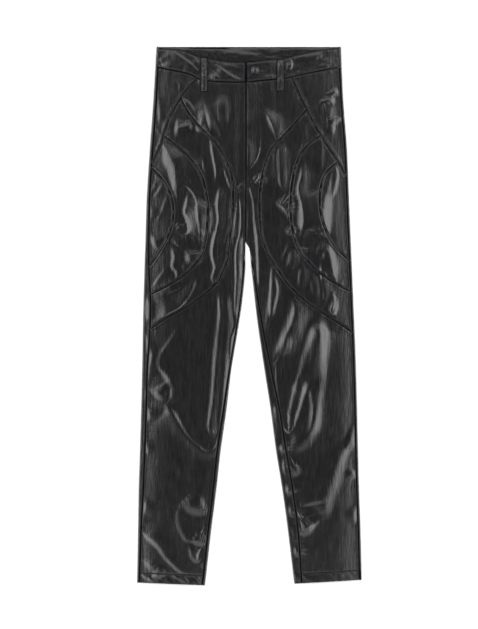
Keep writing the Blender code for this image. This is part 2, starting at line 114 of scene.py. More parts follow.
# Sunken lines: depth and half width
GROOVES = {
    "seam": (0.85, 1.45),
    "rib_stitch": (0.55, 0.95),
    "fly_stitch": (0.4, 0.8),
    "hem_stitch": (0.45, 1.0),
    "band_edge": (0.7, 1.1),
    "band_stitch": (0.35, 0.7),
    "loop_edge": (0.8, 1.1),
    "loop_stitch": (0.35, 0.6),
}
# Painted shade: dull, dark lines in the coating, strength and half width
SHADES = {
    "seam": (1.0, 1.1),
    "rib_stitch": (0.9, 0.8),
    "waist": (1.0, 1.5),
    "plain": (1.0, 1.3),
    "hem_stitch": (1.0, 1.2),
    "band_edge": (1.0, 1.0),
    "band_stitch": (0.7, 0.8),
    "loop_edge": (1.0, 1.2),
    "loop_stitch": (0.8, 0.7),
}
# Puckers beside a seam: height of the close and of the wide ones, how far they reach, and how far
# from the seam they begin and are at their full height
PULLS = {
    "rib": (0.22, 0.14, 4.0, 0.0, 2.0),
    "cut": (0.22, 0.14, 4.5, 0.5, 2.5),
    "waist": (0.42, 0.3, 6.0, 0.5, 3.0),
    "plain": (0.14, 0.12, 5.0, 0.3, 2.0),
}
# Low swells beside a seam with no rib: height, distance from the seam and half width
SWELLS = {"cut": (0.14, 3.0, 2.2), "plain": (0.07, 2.4, 1.6)}
# Length of the close and of the wide puckers, along a seam and along the waistband
SEAM_PUCKERS = (3.6, 13.0)
BAND_PUCKERS = (4.2, 15.0)
# Unevenness all over: height, and the size of a bump across and along
BROAD_WAVES = (0.35, 38.0, 95.0)
SMALL_WAVES = (0.09, 9.0, 26.0)
BAND_WAVES = (0.12, 8.0, 6.0)

# Waistband: down of its top edge and of its lower seam, by place
#      x,   top, seam
BAND_EDGES = (
    (-170, 1.8, 36.0),
    (-150, 3.0, 40.5),
    (-127, 4.6, 45.0),
    (-109, 11.0, 49.5),
    (-91, 18.3, 58.0),
    (-72, 22.0, 62.0),
    (-34, 27.0, 64.0),
    (-6, 27.5, 64.0),
    (23, 24.7, 61.0),
    (65, 20.0, 57.0),
    (92, 12.8, 51.0),
    (129, 5.5, 43.5),
    (168, 0.9, 36.0),
)
# Hem: down of each leg's lower edge by place
#        x, down
HEM = ((-206, 980.0), (-81, 985.0), (82, 982.0), (206, 975.0))
# Middle of the front
#          down, x
MIDDLE = ((0, -5.0), (64, -6.3), (225, -6.3), (355, -7.6), (400, -7.6))
# A leg's edges, and how far in from them its side seam and its inner-leg seam lie
#   down, outer, inner, side_in, inner_in
RIGHT_LEG = (
    (0, 169.6, 7.6, 4.0, 2.6),
    (97, 175.4, 7.6, 5.0, 2.6),
    (198, 182.7, 7.6, 5.0, 2.6),
    (280, 187.7, 7.6, 5.0, 2.6),
    (355, 190.0, 7.6, 6.0, 2.6),
    (408, 191.8, 8.1, 8.0, 2.6),
    (463, 193.5, 13.3, 12.5, 2.6),
    (518, 194.6, 21.4, 12.5, 2.6),
    (591, 196.0, 33.6, 9.0, 2.8),
    (664, 197.8, 42.4, 9.0, 5.0),
    (738, 200.0, 52.8, 8.5, 6.0),
    (811, 202.3, 61.0, 8.0, 5.5),
    (884, 203.5, 70.2, 5.2, 5.0),
    (985, 205.4, 81.7, 3.8, 4.5),
)
LEFT_LEG = (
    (0, 167.0, -7.6, 3.6, 2.6),
    (97, 171.4, -7.6, 3.6, 2.6),
    (189, 178.3, -7.6, 3.6, 2.6),
    (280, 182.0, -7.6, 3.6, 2.6),
    (355, 185.1, -7.6, 3.6, 2.6),
    (366, 185.6, -0.8, 3.6, 2.6),
    (390, 186.7, 2.3, 3.6, 3.0),
    (426, 188.2, 6.1, 3.6, 3.8),
    (500, 191.3, 14.5, 3.6, 7.5),
    (536, 192.8, 19.7, 3.6, 9.0),
    (591, 194.8, 27.9, 3.6, 12.0),
    (664, 196.7, 39.3, 3.6, 15.5),
    (738, 198.4, 49.0, 3.6, 18.0),
    (811, 200.3, 60.7, 3.6, 18.5),
    (884, 202.9, 70.7, 3.6, 18.0),
    (985, 205.4, 82.8, 3.6, 13.0),
)
# Seams that cut each front
#   down, out
RIGHT_SEAMS = {
    "slant": ((50, 90.0), (59, 97.8), (75, 114.3), (106, 134.4), (139, 150.9), (176, 161.9), (221, 182.0)),
    "outer": (
        (93, 125.3), (112, 116.1), (141, 94.2), (176, 61.2), (209, 41.1), (245, 30.1), (307, 29.6),
        (353, 35.6), (393, 41.1), (415, 50.2), (434, 61.2), (459, 90.5), (483, 127.1), (498, 154.5),
        (518, 184.0),
    ),
    "middle": (
        (163, 154.5), (185, 127.1), (209, 103.3), (240, 85.0), (280, 75.9), (307, 74.9), (353, 79.5),
        (390, 92.3), (415, 116.1), (437, 149.0), (455, 186.0),
    ),
    "inner": (
        (221, 178.3), (242, 158.2), (269, 143.6), (304, 138.0), (340, 145.4), (377, 165.5), (406, 186.0),
    ),
}
LEFT_SEAMS = {
    "slant": ((50, 74.0), (59, 79.7), (95, 96.2), (132, 114.5), (170, 136.4), (209, 162.0), (245, 181.0)),
    "outer": (
        (113, 105.3), (148, 74.2), (176, 48.6), (189, 37.6), (234, 23.0), (280, 17.5), (326, 19.3),
        (362, 26.6), (404, 48.6), (439, 74.2), (472, 110.8), (496, 147.4), (516, 178.5), (526, 192.0),
    ),
    "middle": (
        (161, 130.9), (178, 107.0), (203, 88.8), (243, 77.9), (289, 74.2), (335, 77.9), (372, 90.7),
        (401, 114.5), (425, 143.8), (441, 171.2), (449, 190.0),
    ),
    "inner": (
        (210, 160.2), (229, 140.0), (258, 129.0), (298, 128.2), (335, 138.3), (366, 156.6), (396, 187.0),
    ),
}

# Creases of the cloth. Each rises over a flank along its course and falls off gently behind it.
# The flank's slope where it is steepest; a bright crease is also crisp at its high side.
BRIGHT, SOFT, FAINT = 0.34, 0.18, 0.11
# The creases were read in the photo, in its pixels. What turns a reading into millimetres: the
# size of a pixel, the places of the middle and of the waist's top edge, and a flank's share that is lit.
PIXEL = 1.83
MIDDLE_PIXEL, WAIST_PIXEL = 249.45, 47.0
LIT_SHARE = {BRIGHT: 0.66, SOFT: 0.6, FAINT: 0.75}
LEAST_FLANK = 3
#    flank faces, steepness, reading of (across, down, width that is lit)
RIGHT_CREASES = (
    ("left", FAINT, ((156, 92, 2), (158, 110, 3), (158, 124, 2))),
    ("left", FAINT, ((153, 124, 2), (158, 134, 2))),
    ("right", SOFT, ((182, 98, 1.5), (189, 102, 2), (194, 110, 2), (197, 120, 1.5))),
    ("left", SOFT, ((177, 117, 1.2), (176, 128, 3), (175, 140, 1.8))),
    ("right", SOFT, ((189, 119, 2), (191, 127, 3.5), (191, 133, 2))),
    ("down", SOFT, ((195, 131, 2), (201, 131.5, 3), (207, 132, 2))),
    ("right", BRIGHT, ((203, 96, 1.2), (205, 108, 2.6), (208, 120, 3.4), (212, 134, 2))),
    ("right", FAINT, ((208, 104, 3), (212, 118, 7), (217, 130, 6), (221, 142, 3))),
    ("left", BRIGHT, ((210, 138, 1.5), (211, 149, 2), (215, 172, 1.8), (215, 183, 1))),
    ("right", FAINT, ((226, 94, 5), (228, 108, 7), (227, 128, 4))),
    ("left", FAINT, ((174, 79, 1.5), (179, 86, 2), (178, 92, 1.5))),
    ("left", SOFT, ((161, 138, 1), (164, 149, 3), (167, 160, 6.5), (170, 168, 7), (173, 182, 5),
        (176, 202, 2))),
    ("left", BRIGHT, ((177, 183, 1.5), (184, 185, 1.8), (191, 191, 1.8), (196, 201, 2), (197, 214, 1.8),
        (199, 232, 1.8), (199, 247, 1))),
    ("left", BRIGHT, ((187, 194, 2), (185, 205, 2.5), (184, 212, 2.5), (187, 221, 2.5), (189, 229, 2.5),
        (186, 234, 2), (180, 231, 1.5))),
    ("left", SOFT, ((190, 197, 4), (192, 211, 8), (193, 228, 8), (196, 246, 3))),
    ("left", SOFT, ((185, 249, 2), (187, 258, 4.5), (186, 267, 2))),
    ("left", SOFT, ((171, 239, 1.5), (178, 246, 2), (184, 251, 2))),
    ("left", BRIGHT, ((171, 246, 1.5), (173, 257, 2), (172, 266, 1.8), (176, 274, 2), (176, 281, 1.2))),
    ("left", SOFT, ((182, 261, 1.5), (183, 268, 2), (183, 275, 1.2))),
    ("left", FAINT, ((165, 268, 1.5), (157, 279, 2), (151, 288, 1.5))),
    ("left", SOFT, ((177, 222, 1.5), (182, 225, 1.8), (186, 222, 1.2))),
    ("left", BRIGHT, ((220, 185, 2), (217, 197, 3), (216, 206, 3.5), (217, 220, 3), (214, 235, 3),
        (211, 250, 3), (212, 258, 2.5), (214, 267, 2), (212, 279, 1.8), (217, 287, 1.2))),
    ("right", SOFT, ((202, 156, 1.2), (203, 166, 2), (205, 175, 1.2))),
    ("right", FAINT, ((193, 159, 1.5), (197, 163, 2), (200, 167, 1.5))),
    ("left", SOFT, ((221, 163, 1.5), (227, 180, 2), (231, 191, 1.5))),
    ("up", SOFT, ((234, 191, 1.5), (239, 186, 2), (245, 180, 1.5))),
    ("left", FAINT, ((230, 194, 2), (229, 218, 3.5), (225, 240, 3), (219, 252, 2))),
    ("right", FAINT, ((232, 196, 1.5), (234, 220, 2.5), (230, 240, 2.5), (228, 256, 1.5))),
    ("left", BRIGHT, ((239, 196, 1.2), (240, 214, 1.8), (239, 232, 2.2), (235, 251, 2.6), (235, 280, 2),
        (234, 310, 2), (235, 324, 1.8), (231, 338, 1.6), (229, 363, 1.2))),
    ("right", FAINT, ((240, 260, 1.5), (241, 270, 2), (241, 281, 1.5))),
    ("left", FAINT, ((155, 181, 1.2), (152, 188, 1.8), (149, 196, 1.2))),
    ("left", FAINT, ((162, 182, 1.2), (158, 190, 2), (153, 198, 1.2))),
    ("left", FAINT, ((167, 193, 1.2), (162, 208, 2.2), (156, 222, 1.2))),
    ("left", SOFT, ((151, 205, 1.5), (150, 213, 2.2), (149, 221, 1.5))),
    ("left", SOFT, ((151, 235, 1.5), (153, 242, 2.5), (156, 249, 1.5))),
    ("down", SOFT, ((160, 297, 2.5), (169, 293, 3), (178, 289, 3), (190, 280, 2))),
    ("right", BRIGHT, ((196, 273, 1.5), (195, 284, 2), (189, 297, 2), (179, 309, 2.4), (169, 315, 4),
        (159, 322, 4))),
    ("left", BRIGHT, ((146, 296, 2), (146, 309, 3), (146, 323, 2))),
    ("left", SOFT, ((145, 334, 1.5), (147, 345, 2), (147, 356, 1.5))),
    ("left", SOFT, ((178, 325, 1.2), (172, 336, 1.8), (166, 345, 1.8), (161, 352, 1.8), (158, 360, 2),
        (159, 368, 2), (163, 374, 2.5), (168, 381, 3.5), (171, 388, 3), (170, 396, 3), (167, 404, 2))),
    ("left", SOFT, ((151, 346, 1.5), (150, 356, 2.5), (148, 370, 2.5), (148, 381, 1.5))),
    ("left", SOFT, ((147, 384, 1.5), (146, 394, 2.5), (146, 403, 1.5))),
    ("left", SOFT, ((146, 405, 1.5), (148, 415, 3), (148, 423, 1.5))),
    ("left", SOFT, ((144, 436, 1.2), (146, 447, 2), (147, 455, 1.5))),
    ("left", SOFT, ((149, 387, 2), (154, 393, 4), (160, 398, 4.5), (166, 403, 2.5))),
    ("right", BRIGHT, ((166, 402, 1.5), (172, 409, 3.4), (177, 416, 3.6), (181, 424, 3), (186, 433, 2.5),
        (192, 440, 2), (198, 445, 2.2), (204, 450, 2.4), (209, 451, 2.2), (213, 449, 2), (216, 443, 1.6),
        (218, 433, 1))),
    ("left", BRIGHT, ((218, 291, 1.5), (219, 311, 3), (217, 332, 3), (215, 352, 3.2), (213, 380, 3.4),
        (211, 400, 3.2), (209, 418, 3), (208, 427, 2.6), (210, 434, 2.2), (213, 440, 1.5))),
    ("left", FAINT, ((224, 292, 2), (226, 320, 4), (224, 350, 4), (221, 390, 4), (218, 425, 3))),
    ("down", FAINT, ((178, 506, 3), (185, 508, 8), (192, 511, 9), (200, 513, 8), (207, 515, 4))),
    ("left", FAINT, ((180, 505, 2), (177, 515, 4), (178, 526, 4), (184, 538, 4), (188, 545, 2))),
    ("left", SOFT, ((205, 529, 2), (204, 534, 4), (203, 539, 2))),
    ("down", SOFT, ((188, 541, 2), (196, 543, 4), (205, 546, 3))),
    ("left", SOFT, ((189, 543, 2), (190, 552, 3), (192, 558, 3), (196, 562, 2.6), (202, 560, 2))),
    ("left", SOFT, ((202, 560, 1.5), (202, 564, 2.5), (202, 569, 1.5))),
    ("left", SOFT, ((142, 497, 1.5), (144, 506, 3), (142, 516, 2), (140, 529, 1.5))),
    ("left", SOFT, ((141, 530, 1.5), (145, 536, 2), (152, 542, 3.4), (158, 548, 3.4), (165, 558, 2.6),
        (172, 565, 2.2), (180, 572, 2), (189, 576, 1.2))),
    ("left", FAINT, ((143, 560, 2), (147, 565, 4.5), (151, 569, 4.5), (156, 573, 2))),
    ("right", SOFT, ((159, 564, 2), (163, 569, 4), (168, 574, 2))),
    ("left", FAINT, ((245, 92, 1), (245, 108, 1.4), (246, 124, 1))),
    ("left", SOFT, ((246, 139, 1.2), (247, 153, 1.8), (247, 168, 1.2))),
)
LEFT_CREASES = (
    ("left", BRIGHT, ((263, 108, 1), (267, 117, 2.6), (271, 126, 3.8), (274, 135, 3.4), (277, 145, 1.4))),
    ("left", SOFT, ((280, 142, 2), (278, 155, 3), (278, 167, 3.2), (279, 181, 2.8), (284, 194, 1.5))),
    ("left", FAINT, ((304, 124, 1.2), (303, 140, 2), (299, 153, 2), (296, 163, 1.2))),
    ("left", BRIGHT, ((302, 161, 2), (300, 174, 3), (297, 189, 3.4), (299, 204, 5), (300, 220, 5.5),
        (299, 241, 3))),
    ("left", SOFT, ((301, 246, 1.5), (301, 250, 3), (301, 254, 1.5))),
    ("right", FAINT, ((322, 141, 1.2), (323, 152, 2), (322, 171, 1.2))),
    ("right", SOFT, ((336, 164, 1.2), (338, 175, 1.8), (336, 189, 2), (332, 199, 1.6))),
    ("right", SOFT, ((333, 170, 1), (330, 187, 3), (328, 204, 6.5), (327, 221, 7.5), (330, 240, 2))),
    ("left", BRIGHT, ((274, 204, 2), (280, 207, 4.5), (285, 213, 4), (287, 219, 2))),
    ("left", SOFT, ((286, 226, 1.5), (287, 232, 4), (288, 238, 1.5))),
    ("left", FAINT, ((328, 92, 1.5), (320, 103, 2.5), (311, 111, 1.5))),
    ("right", SOFT, ((332, 95, 1.5), (333, 100, 4), (334, 105, 1.5))),
    ("left", SOFT, ((331, 105, 1.2), (327, 115, 1.8), (327, 133, 1.2))),
    ("left", SOFT, ((329, 116, 2), (330, 121, 5), (331, 127, 2))),
    ("right", SOFT, ((335, 121, 1.2), (334, 128, 2), (333, 136, 1.2))),
    ("left", SOFT, ((340, 128, 1.2), (341, 134, 2), (342, 140, 1.2))),
    ("right", SOFT, ((335, 87, 1.5), (337, 91, 3), (339, 95, 1.5))),
    ("left", FAINT, ((294, 84, 1.5), (293, 100, 2.5), (292, 116, 1.5))),
    ("left", SOFT, ((257, 176, 1.2), (261, 180, 2), (266, 185, 1.2))),
    ("right", SOFT, ((265, 175, 1.2), (261, 180, 2), (257, 185, 1.2))),
    ("left", SOFT, ((247, 182, 1.4), (252, 200, 2), (254, 220, 2.2), (256, 240, 2.2), (257, 260, 2.2),
        (258, 289, 1.2))),
    ("left", SOFT, ((322, 239, 2), (318, 249, 3), (314, 257, 2))),
    ("left", SOFT, ((326, 244, 1.5), (324, 253, 2.2), (321, 261, 1.5))),
    ("right", BRIGHT, ((330, 244, 2), (333, 256, 4), (335, 269, 4.5), (337, 282, 2))),
    ("left", SOFT, ((318, 239, 1.2), (321, 234, 1.8), (324, 238, 1.2))),
    ("right", FAINT, ((288, 242, 1.5), (285, 251, 2.5), (280, 261, 1.5))),
    ("left", SOFT, ((292, 246, 2), (289, 259, 4), (286, 272, 2.5))),
    ("left", SOFT, ((300, 263, 1.5), (299, 276, 3), (298, 291, 1.5))),
    ("left", SOFT, ((272, 264, 1.2), (271, 278, 2), (270, 292, 2), (269, 306, 2), (271, 320, 1.5))),
    ("right", SOFT, ((275, 276, 1.2), (278, 290, 2), (275, 305, 2), (271, 319, 2), (266, 333, 1.2))),
    ("left", SOFT, ((311, 273, 1.5), (311, 286, 3), (315, 300, 1.8))),
    ("left", BRIGHT, ((320, 260, 1.2), (321, 279, 2), (323, 293, 2), (322, 306, 1.2))),
    ("left", BRIGHT, ((331, 290, 3), (332, 301, 5), (330, 311, 3), (334, 315, 2), (337, 307, 2.2),
        (337, 294, 1.5))),
    ("left", BRIGHT, ((291, 295, 2.5), (292, 308, 5.5), (289, 322, 6.5), (284, 334, 5.5), (278, 347, 5),
        (273, 357, 3))),
    ("left", SOFT, ((287, 334, 1.2), (283, 347, 1.8), (277, 360, 2), (272, 365, 1.5))),
    ("left", SOFT, ((315, 317, 4), (312, 326, 6.5), (308, 340, 6), (303, 356, 5), (300, 369, 4),
        (295, 385, 2.8), (291, 401, 2.4), (288, 415, 2), (287, 428, 1.4))),
    ("right", FAINT, ((324, 316, 4), (325, 328, 5), (325, 342, 5.5), (325, 361, 6), (323, 384, 6),
        (321, 400, 5), (319, 416, 5), (316, 429, 8), (311, 439, 9), (304, 446, 9), (297, 451, 6),
        (291, 454, 3))),
    ("left", SOFT, ((308, 386, 1.8), (310, 396, 2.6), (311, 410, 2.8), (310, 424, 3), (307, 436, 2))),
    ("right", BRIGHT, ((308, 380, 3), (305, 388, 4), (302, 398, 2.4), (299, 409, 2), (296, 419, 2),
        (293, 428, 1.8), (289, 433, 1.8), (285, 430, 1.6), (282, 422, 1.2))),
    ("left", FAINT, ((275, 364, 1.5), (276, 385, 2.2), (279, 405, 2), (282, 423, 1.5))),
    ("left", SOFT, ((272, 401, 1.5), (273, 410, 2.8), (275, 425, 1.8), (276, 441, 1.2))),
    ("left", BRIGHT, ((278, 444, 2), (280, 449, 5), (282, 455, 2))),
    ("left", SOFT, ((282, 457, 1.5), (283, 467, 2.6), (285, 479, 1.5))),
    ("down", SOFT, ((291, 477, 2.5), (296, 474, 5.5), (303, 470, 3))),
    ("left", SOFT, ((352, 423, 1.5), (350, 432, 3), (347, 441, 3.4), (344, 452, 2))),
    ("right", FAINT, ((349, 437, 2), (346, 450, 5), (342, 463, 7), (338, 478, 9), (333, 492, 10),
        (329, 506, 8), (325, 521, 4))),
    ("left", FAINT, ((316, 322, 4), (313, 337, 8), (310, 355, 8), (308, 372, 6), (308, 386, 3))),
    ("left", SOFT, ((348, 468, 2), (348, 474, 5), (347, 480, 3))),
    ("down", FAINT, ((300, 507, 3), (312, 504, 4), (326, 501, 4))),
    ("left", BRIGHT, ((295, 509, 1.2), (298, 514, 1.8), (302, 519, 1.4))),
    ("down", FAINT, ((302, 518, 1.5), (308, 517, 2), (315, 515, 1.2))),
    ("down", BRIGHT, ((298, 534, 2.5), (303, 534, 5), (309, 530, 5.5), (315, 525, 3), (321, 520, 2))),
    ("left", FAINT, ((302, 542, 1.5), (301, 547, 2.5), (301, 553, 1.5))),
    ("left", SOFT, ((286, 482, 1.5), (286, 489, 3.2), (287, 498, 1.5))),
    ("left", SOFT, ((288, 503, 1.5), (289, 511, 2.8), (290, 519, 1.5))),
    ("left", FAINT, ((290, 523, 1.5), (292, 534, 2.6), (293, 546, 1.5))),
    ("left", SOFT, ((293, 546, 1.5), (294, 551, 3), (294, 557, 1.5))),
    ("right", SOFT, ((358, 504, 1.2), (356, 514, 2.2), (356, 525, 1.2))),
)
BAND_CREASES = (
    ("up", BRIGHT, ((170, 49, 0.9), (176, 53, 1.6), (184, 58, 1.9), (192, 64, 1.9), (201, 73, 1.2))),
    ("up", SOFT, ((195, 56, 0.9), (198, 61, 1.5), (202, 67, 0.9))),
    ("up", SOFT, ((210, 68, 0.9), (216, 74, 1.5), (223, 81, 0.9))),
    ("up", BRIGHT, ((215, 64, 0.9), (227, 72, 1.9), (235, 77, 1.9), (245, 82, 0.9))),
    ("down", SOFT, ((208, 75, 0.9), (213, 80, 1.2), (224, 82, 0.9))),
    ("down", BRIGHT, ((230, 64, 0.9), (237, 64.5, 1.5), (245, 65, 0.9))),
    ("down", SOFT, ((231, 67, 0.9), (238, 70, 1.2), (245, 73, 0.9))),
    ("right", BRIGHT, ((287, 57, 0.9), (292, 62, 1.6), (291, 71, 0.9))),
    ("left", SOFT, ((284, 65, 1.2), (286, 68.5, 2.5), (288, 72, 1.2))),
    ("down", FAINT, ((296, 62, 2), (310, 60, 3.5), (326, 57, 2))),
    ("up", SOFT, ((299, 72, 0.9), (303, 76, 1.6), (309, 77, 0.9))),
    ("up", SOFT, ((313, 73, 0.9), (325, 70, 1.2), (339, 66, 0.9))),
    ("left", SOFT, ((160, 61, 0.9), (163, 67, 1.5), (171, 72, 0.9))),
    ("down", FAINT, ((150, 55, 2), (157, 58, 4), (166, 60, 2))),
)
# Creases of the waistband's back, whose inside shows above the front
#    flank faces, steepness, course of (x, down, width of the flank) in millimetres
INSIDE_CREASES = (
    ("down", BRIGHT, ((-128, 5, 4), (-100, 9, 11), (-72, 16, 14), (-46, 20, 12), (-18, 10, 5))),
    ("up", SOFT, ((-60, 4, 4), (-30, 8, 9), (0, 12, 6), (28, 13, 4))),
    ("down", SOFT, ((38, 14, 4), (72, 9, 8), (104, 5, 4))),
)
INSIDE_SHARE = 0.6  # the inside lies under the front's layers, so its creases stay low
# The way that a flank looks
FACING = {"left": (-1.0, 0.0), "right": (1.0, 0.0), "up": (0.0, -1.0), "down": (0.0, 1.0)}
COURSE_STEP = 3.0  # between the points that a course is followed by
CRISP = (0.25, 0.34)  # steepness where a flank's high side begins to be crisp, and where it is fully
LIT_SLOPE = 0.12  # least slope that gives back the light
LOW_ENOUGH = 0.06  # a fold's most height as a share of its length
BACK_RATIO = 9.5  # length of a fold's back for its height
LEAST_BACK, MOST_BACK = 3.0, 20.0
END_TAPER = 7.0
TAPER_RATIO = 10.0  # a fold runs out over END_TAPER and this many times its height
PAIRS_AT_ONCE = 2_000_000


def ease(value, low, high):
    """0 at low, 1 at high, and smooth between."""
    share = np.clip((np.asarray(value, float) - low) / (high - low), 0.0, 1.0)
    return share * share * (3.0 - 2.0 * share)


def along(rows, column, at):
    """A column of a table at any places, on a smooth curve through its rows."""
    table = np.array(rows, float)
    places, values = table[:, 0], table[:, column]
    at = np.clip(np.asarray(at, float), places[0], places[-1])
    before = np.concatenate([[0], np.arange(len(places) - 1)])
    after = np.concatenate([np.arange(1, len(places)), [len(places) - 1]])
    slopes = (values[after] - values[before]) / (places[after] - places[before])
    k = np.clip(np.searchsorted(places, at, side="right") - 1, 0, len(places) - 2)
    span = places[k + 1] - places[k]
    t = (at - places[k]) / span
    return (
        (2 * t**3 - 3 * t**2 + 1) * values[k]
        + (t**3 - 2 * t**2 + t) * span * slopes[k]
        + (3 * t**2 - 2 * t**3) * values[k + 1]
        + (t**3 - t**2) * span * slopes[k + 1]
    )


def middle(down):
    return along(MIDDLE, 1, down)


def down_at(x, row, back=False):
    """Where a row lies at x: it follows the waistband's seam at the top and the hem at the end."""
    waist_seam = BAND_DEPTH if back else along(BAND_EDGES, 2, x)
    to_waist = (waist_seam - WAIST_FADE[0]) * (1.0 - ease(row, *WAIST_FADE))
    to_hem = (np.interp(x, *zip(*HEM)) - HEM_FADE[1]) * ease(row, *HEM_FADE)
    return row + to_waist + to_hem


class Rumple:
    """Smooth random unevenness between -1 and 1, the same on each run."""

    def __init__(self, seed):
        self.table = np.random.default_rng(seed).uniform(-1.0, 1.0, (97, 89))

    def __call__(self, x, down, wide, long):
        u, v = x / wide + 40.0, down / long + 40.0
        i, j = np.floor(u).astype(int), np.floor(v).astype(int)
        a, b = ease(u - i, 0, 1), ease(v - j, 0, 1)
        rows, columns = self.table.shape
        i, after, j, beyond = i % rows, (i + 1) % rows, j % columns, (j + 1) % columns
        near = self.table[i, j] * (1 - a) + self.table[after, j] * a
        far = self.table[i, beyond] * (1 - a) + self.table[after, beyond] * a
        return near * (1 - b) + far * b


BROAD, SMALL, PUCKER = Rumple(11), Rumple(23), Rumple(37)


class Crease:
    """A fold that rises over a flank along its course, with a long soft back behind it."""

    def __init__(self, faces, steepness, course):
        places = np.array(course, float)
        runs = np.concatenate([[0], np.cumsum(np.hypot(*np.diff(places[:, :2], axis=0).T))])
        count = max(int(runs[-1] / COURSE_STEP), 6)
        at = np.linspace(0, runs[-1], count)
        x, down, self.width = (along(np.column_stack([runs, places[:, c]]), 1, at) for c in range(3))
        self.points = np.stack([x, down], 1)
        way = np.gradient(self.points, axis=0)
        way /= np.hypot(way[:, :1], way[:, 1:])
        low = np.stack([-way[:, 1], way[:, 0]], 1)
        if low[count // 2] @ np.array(FACING[faces]) < 0:
            low = -low
        self.low = low
        self.crisp = float(ease(steepness, *CRISP))
        # A crisp flank is lit only in its steep upper part, and the course runs along that part's middle
        self.centre = 0.5 + self.crisp * LIT_SLOPE / steepness / 2
        rise = steepness * self.width / (1.5 + 0.5 * self.crisp)
        rise *= min(1.0, LOW_ENOUGH * runs[-1] / rise.max())
        taper = min(END_TAPER + TAPER_RATIO * rise.max(), 0.5 * runs[-1])
        ends = ease(at, -0.3 * taper, taper) * (1.0 - ease(at, runs[-1] - taper, runs[-1] + 0.3 * taper))
        self.rise = rise * ends
        self.back = np.minimum(BACK_RATIO * self.rise, MOST_BACK) + LEAST_BACK
        self.margin = self.width.max() + 2.2 * self.back.max()

    def add(self, x, down, height):
        """Adds the fold to the heights at places near its course."""
        low = self.points.min(0) - self.margin
        high = self.points.max(0) + self.margin
        near = np.flatnonzero((x > low[0]) & (x < high[0]) & (down > low[1]) & (down < high[1]))
        parts = max(1, len(near) * len(self.points) // PAIRS_AT_ONCE)
        for some in np.array_split(near, parts):
            dx = x[some, None] - self.points[None, :, 0]
            dd = down[some, None] - self.points[None, :, 1]
            k = np.argmin(dx * dx + dd * dd, axis=1)
            pick = (np.arange(len(some)), k)
            behind = -(dx[pick] * self.low[k, 0] + dd[pick] * self.low[k, 1])
            beside = np.sqrt(np.maximum(dx[pick] ** 2 + dd[pick] ** 2 - behind**2, 0.0))
            share = np.clip(behind / self.width[k] + self.centre, 0.0, 1.1)
            crest = np.where(share < 0.9, share**2, 0.81 + 0.19 * np.sin(math.pi * (share - 0.9) / 0.4))
            flank = self.crisp * crest + (1.0 - self.crisp) * ease(share, 0.0, 1.0)
            past = np.maximum(behind - self.width[k] * (1.0 - self.centre), 0.0)
            round_end = self.width[k] + 2.0 * self.rise[k]
            fall = np.exp(-((past / self.back[k]) ** 2) - (beside / round_end) ** 2)
            height[some] += self.rise[k] * flank * fall


def read_crease(faces, steepness, reading):
    """A crease from its reading in the photo, to the nearest millimetre."""
    course = []
    for across, down, lit in reading:
        x, below = (across - MIDDLE_PIXEL) * PIXEL, (down - WAIST_PIXEL) * PIXEL
        flank = max(round(lit * PIXEL / LIT_SHARE[steepness]), LEAST_FLANK)
        course.append((round(x), round(below), flank))
    return Crease(faces, steepness, course)


class Leg:
    """One leg. Its lines give "out", which grows from the middle to the side on both legs."""

    def __init__(self, name, side, rows, seams, creases):
        self.name, self.side, self.rows, self.seams = name, side, rows, seams
        self.creases = [read_crease(*row) for row in creases]

    def outer(self, down):
        return along(self.rows, 1, down)

    def inner(self, down):
        return np.where(down <= CROTCH, self.side * middle(down), along(self.rows, 2, down))

    def side_seam(self, down):
        return self.outer(down) - along(self.rows, 3, down)

    def inner_seam(self, down):
        return self.inner(down) + along(self.rows, 4, down) * ease(down, *SEAM_LEAVES)

    def seam(self, which, down):
        """A cutting seam, or no line at all above and below it."""
        points = self.seams[which]
        inside = (down >= points[0][0]) & (down <= points[-1][0])
        return np.where(inside, along(points, 1, down), np.inf)

    def line(self, names, down):
        """The one of several lines that lies nearest to the middle."""
        found = []
        for name in names:
            if name == "side":
                found.append(self.side_seam(down))
            elif name == "inner_leg":
                found.append(self.inner_seam(down))
            elif name == "outline":
                found.append(self.outer(down))
            else:
                found.append(self.seam(name, down))
        return np.min(found, axis=0)

    def on_row(self, line, rows, back=False):
        """Out and down of the places where a line crosses rows, far out where it doesn't."""
        out = np.full(len(rows), 100.0)
        for _ in range(7):
            down = down_at(self.side * out, rows, back)
            found = line(down)
            out = np.where(np.isfinite(found), found, 400.0)
        return out, down

    def edge(self, names, rows, shift):
        """A piece's edge at rows, moved half a seam's gap square to the line."""
        out, down = self.on_row(lambda at: self.line(names, at), rows)
        step = 0.5
        with np.errstate(invalid="ignore"):
            slope = (self.line(names, down + step) - self.line(names, down - step)) / (2 * step)
        slope = np.where(np.isfinite(slope), slope, 0.0)
        return out + shift * np.hypot(1.0, slope) * SEAM_GAP / 2


LEGS = (
    Leg("right", -1, RIGHT_LEG, RIGHT_SEAMS, RIGHT_CREASES),
    Leg("left", 1, LEFT_LEG, LEFT_SEAMS, LEFT_CREASES),
)

CUT_SEAMS = ("slant", "outer", "middle", "inner")
# Each piece of a front: the lines it lies between and the seams that it has a stitched rib along
FRONT_PIECES = {
    "front_main": (["inner_leg"], ["side", "slant", "outer"], {"slant"}),
    "hip_side": (["slant"], ["side"], set()),
    "outer_round": (["outer"], ["side", "slant", "middle"], {"outer", "slant"}),
    "middle_round": (["middle"], ["side", "slant", "inner"], {"middle", "slant"}),
    "inner_round": (["inner"], ["side", "slant"], {"inner", "slant"}),
}


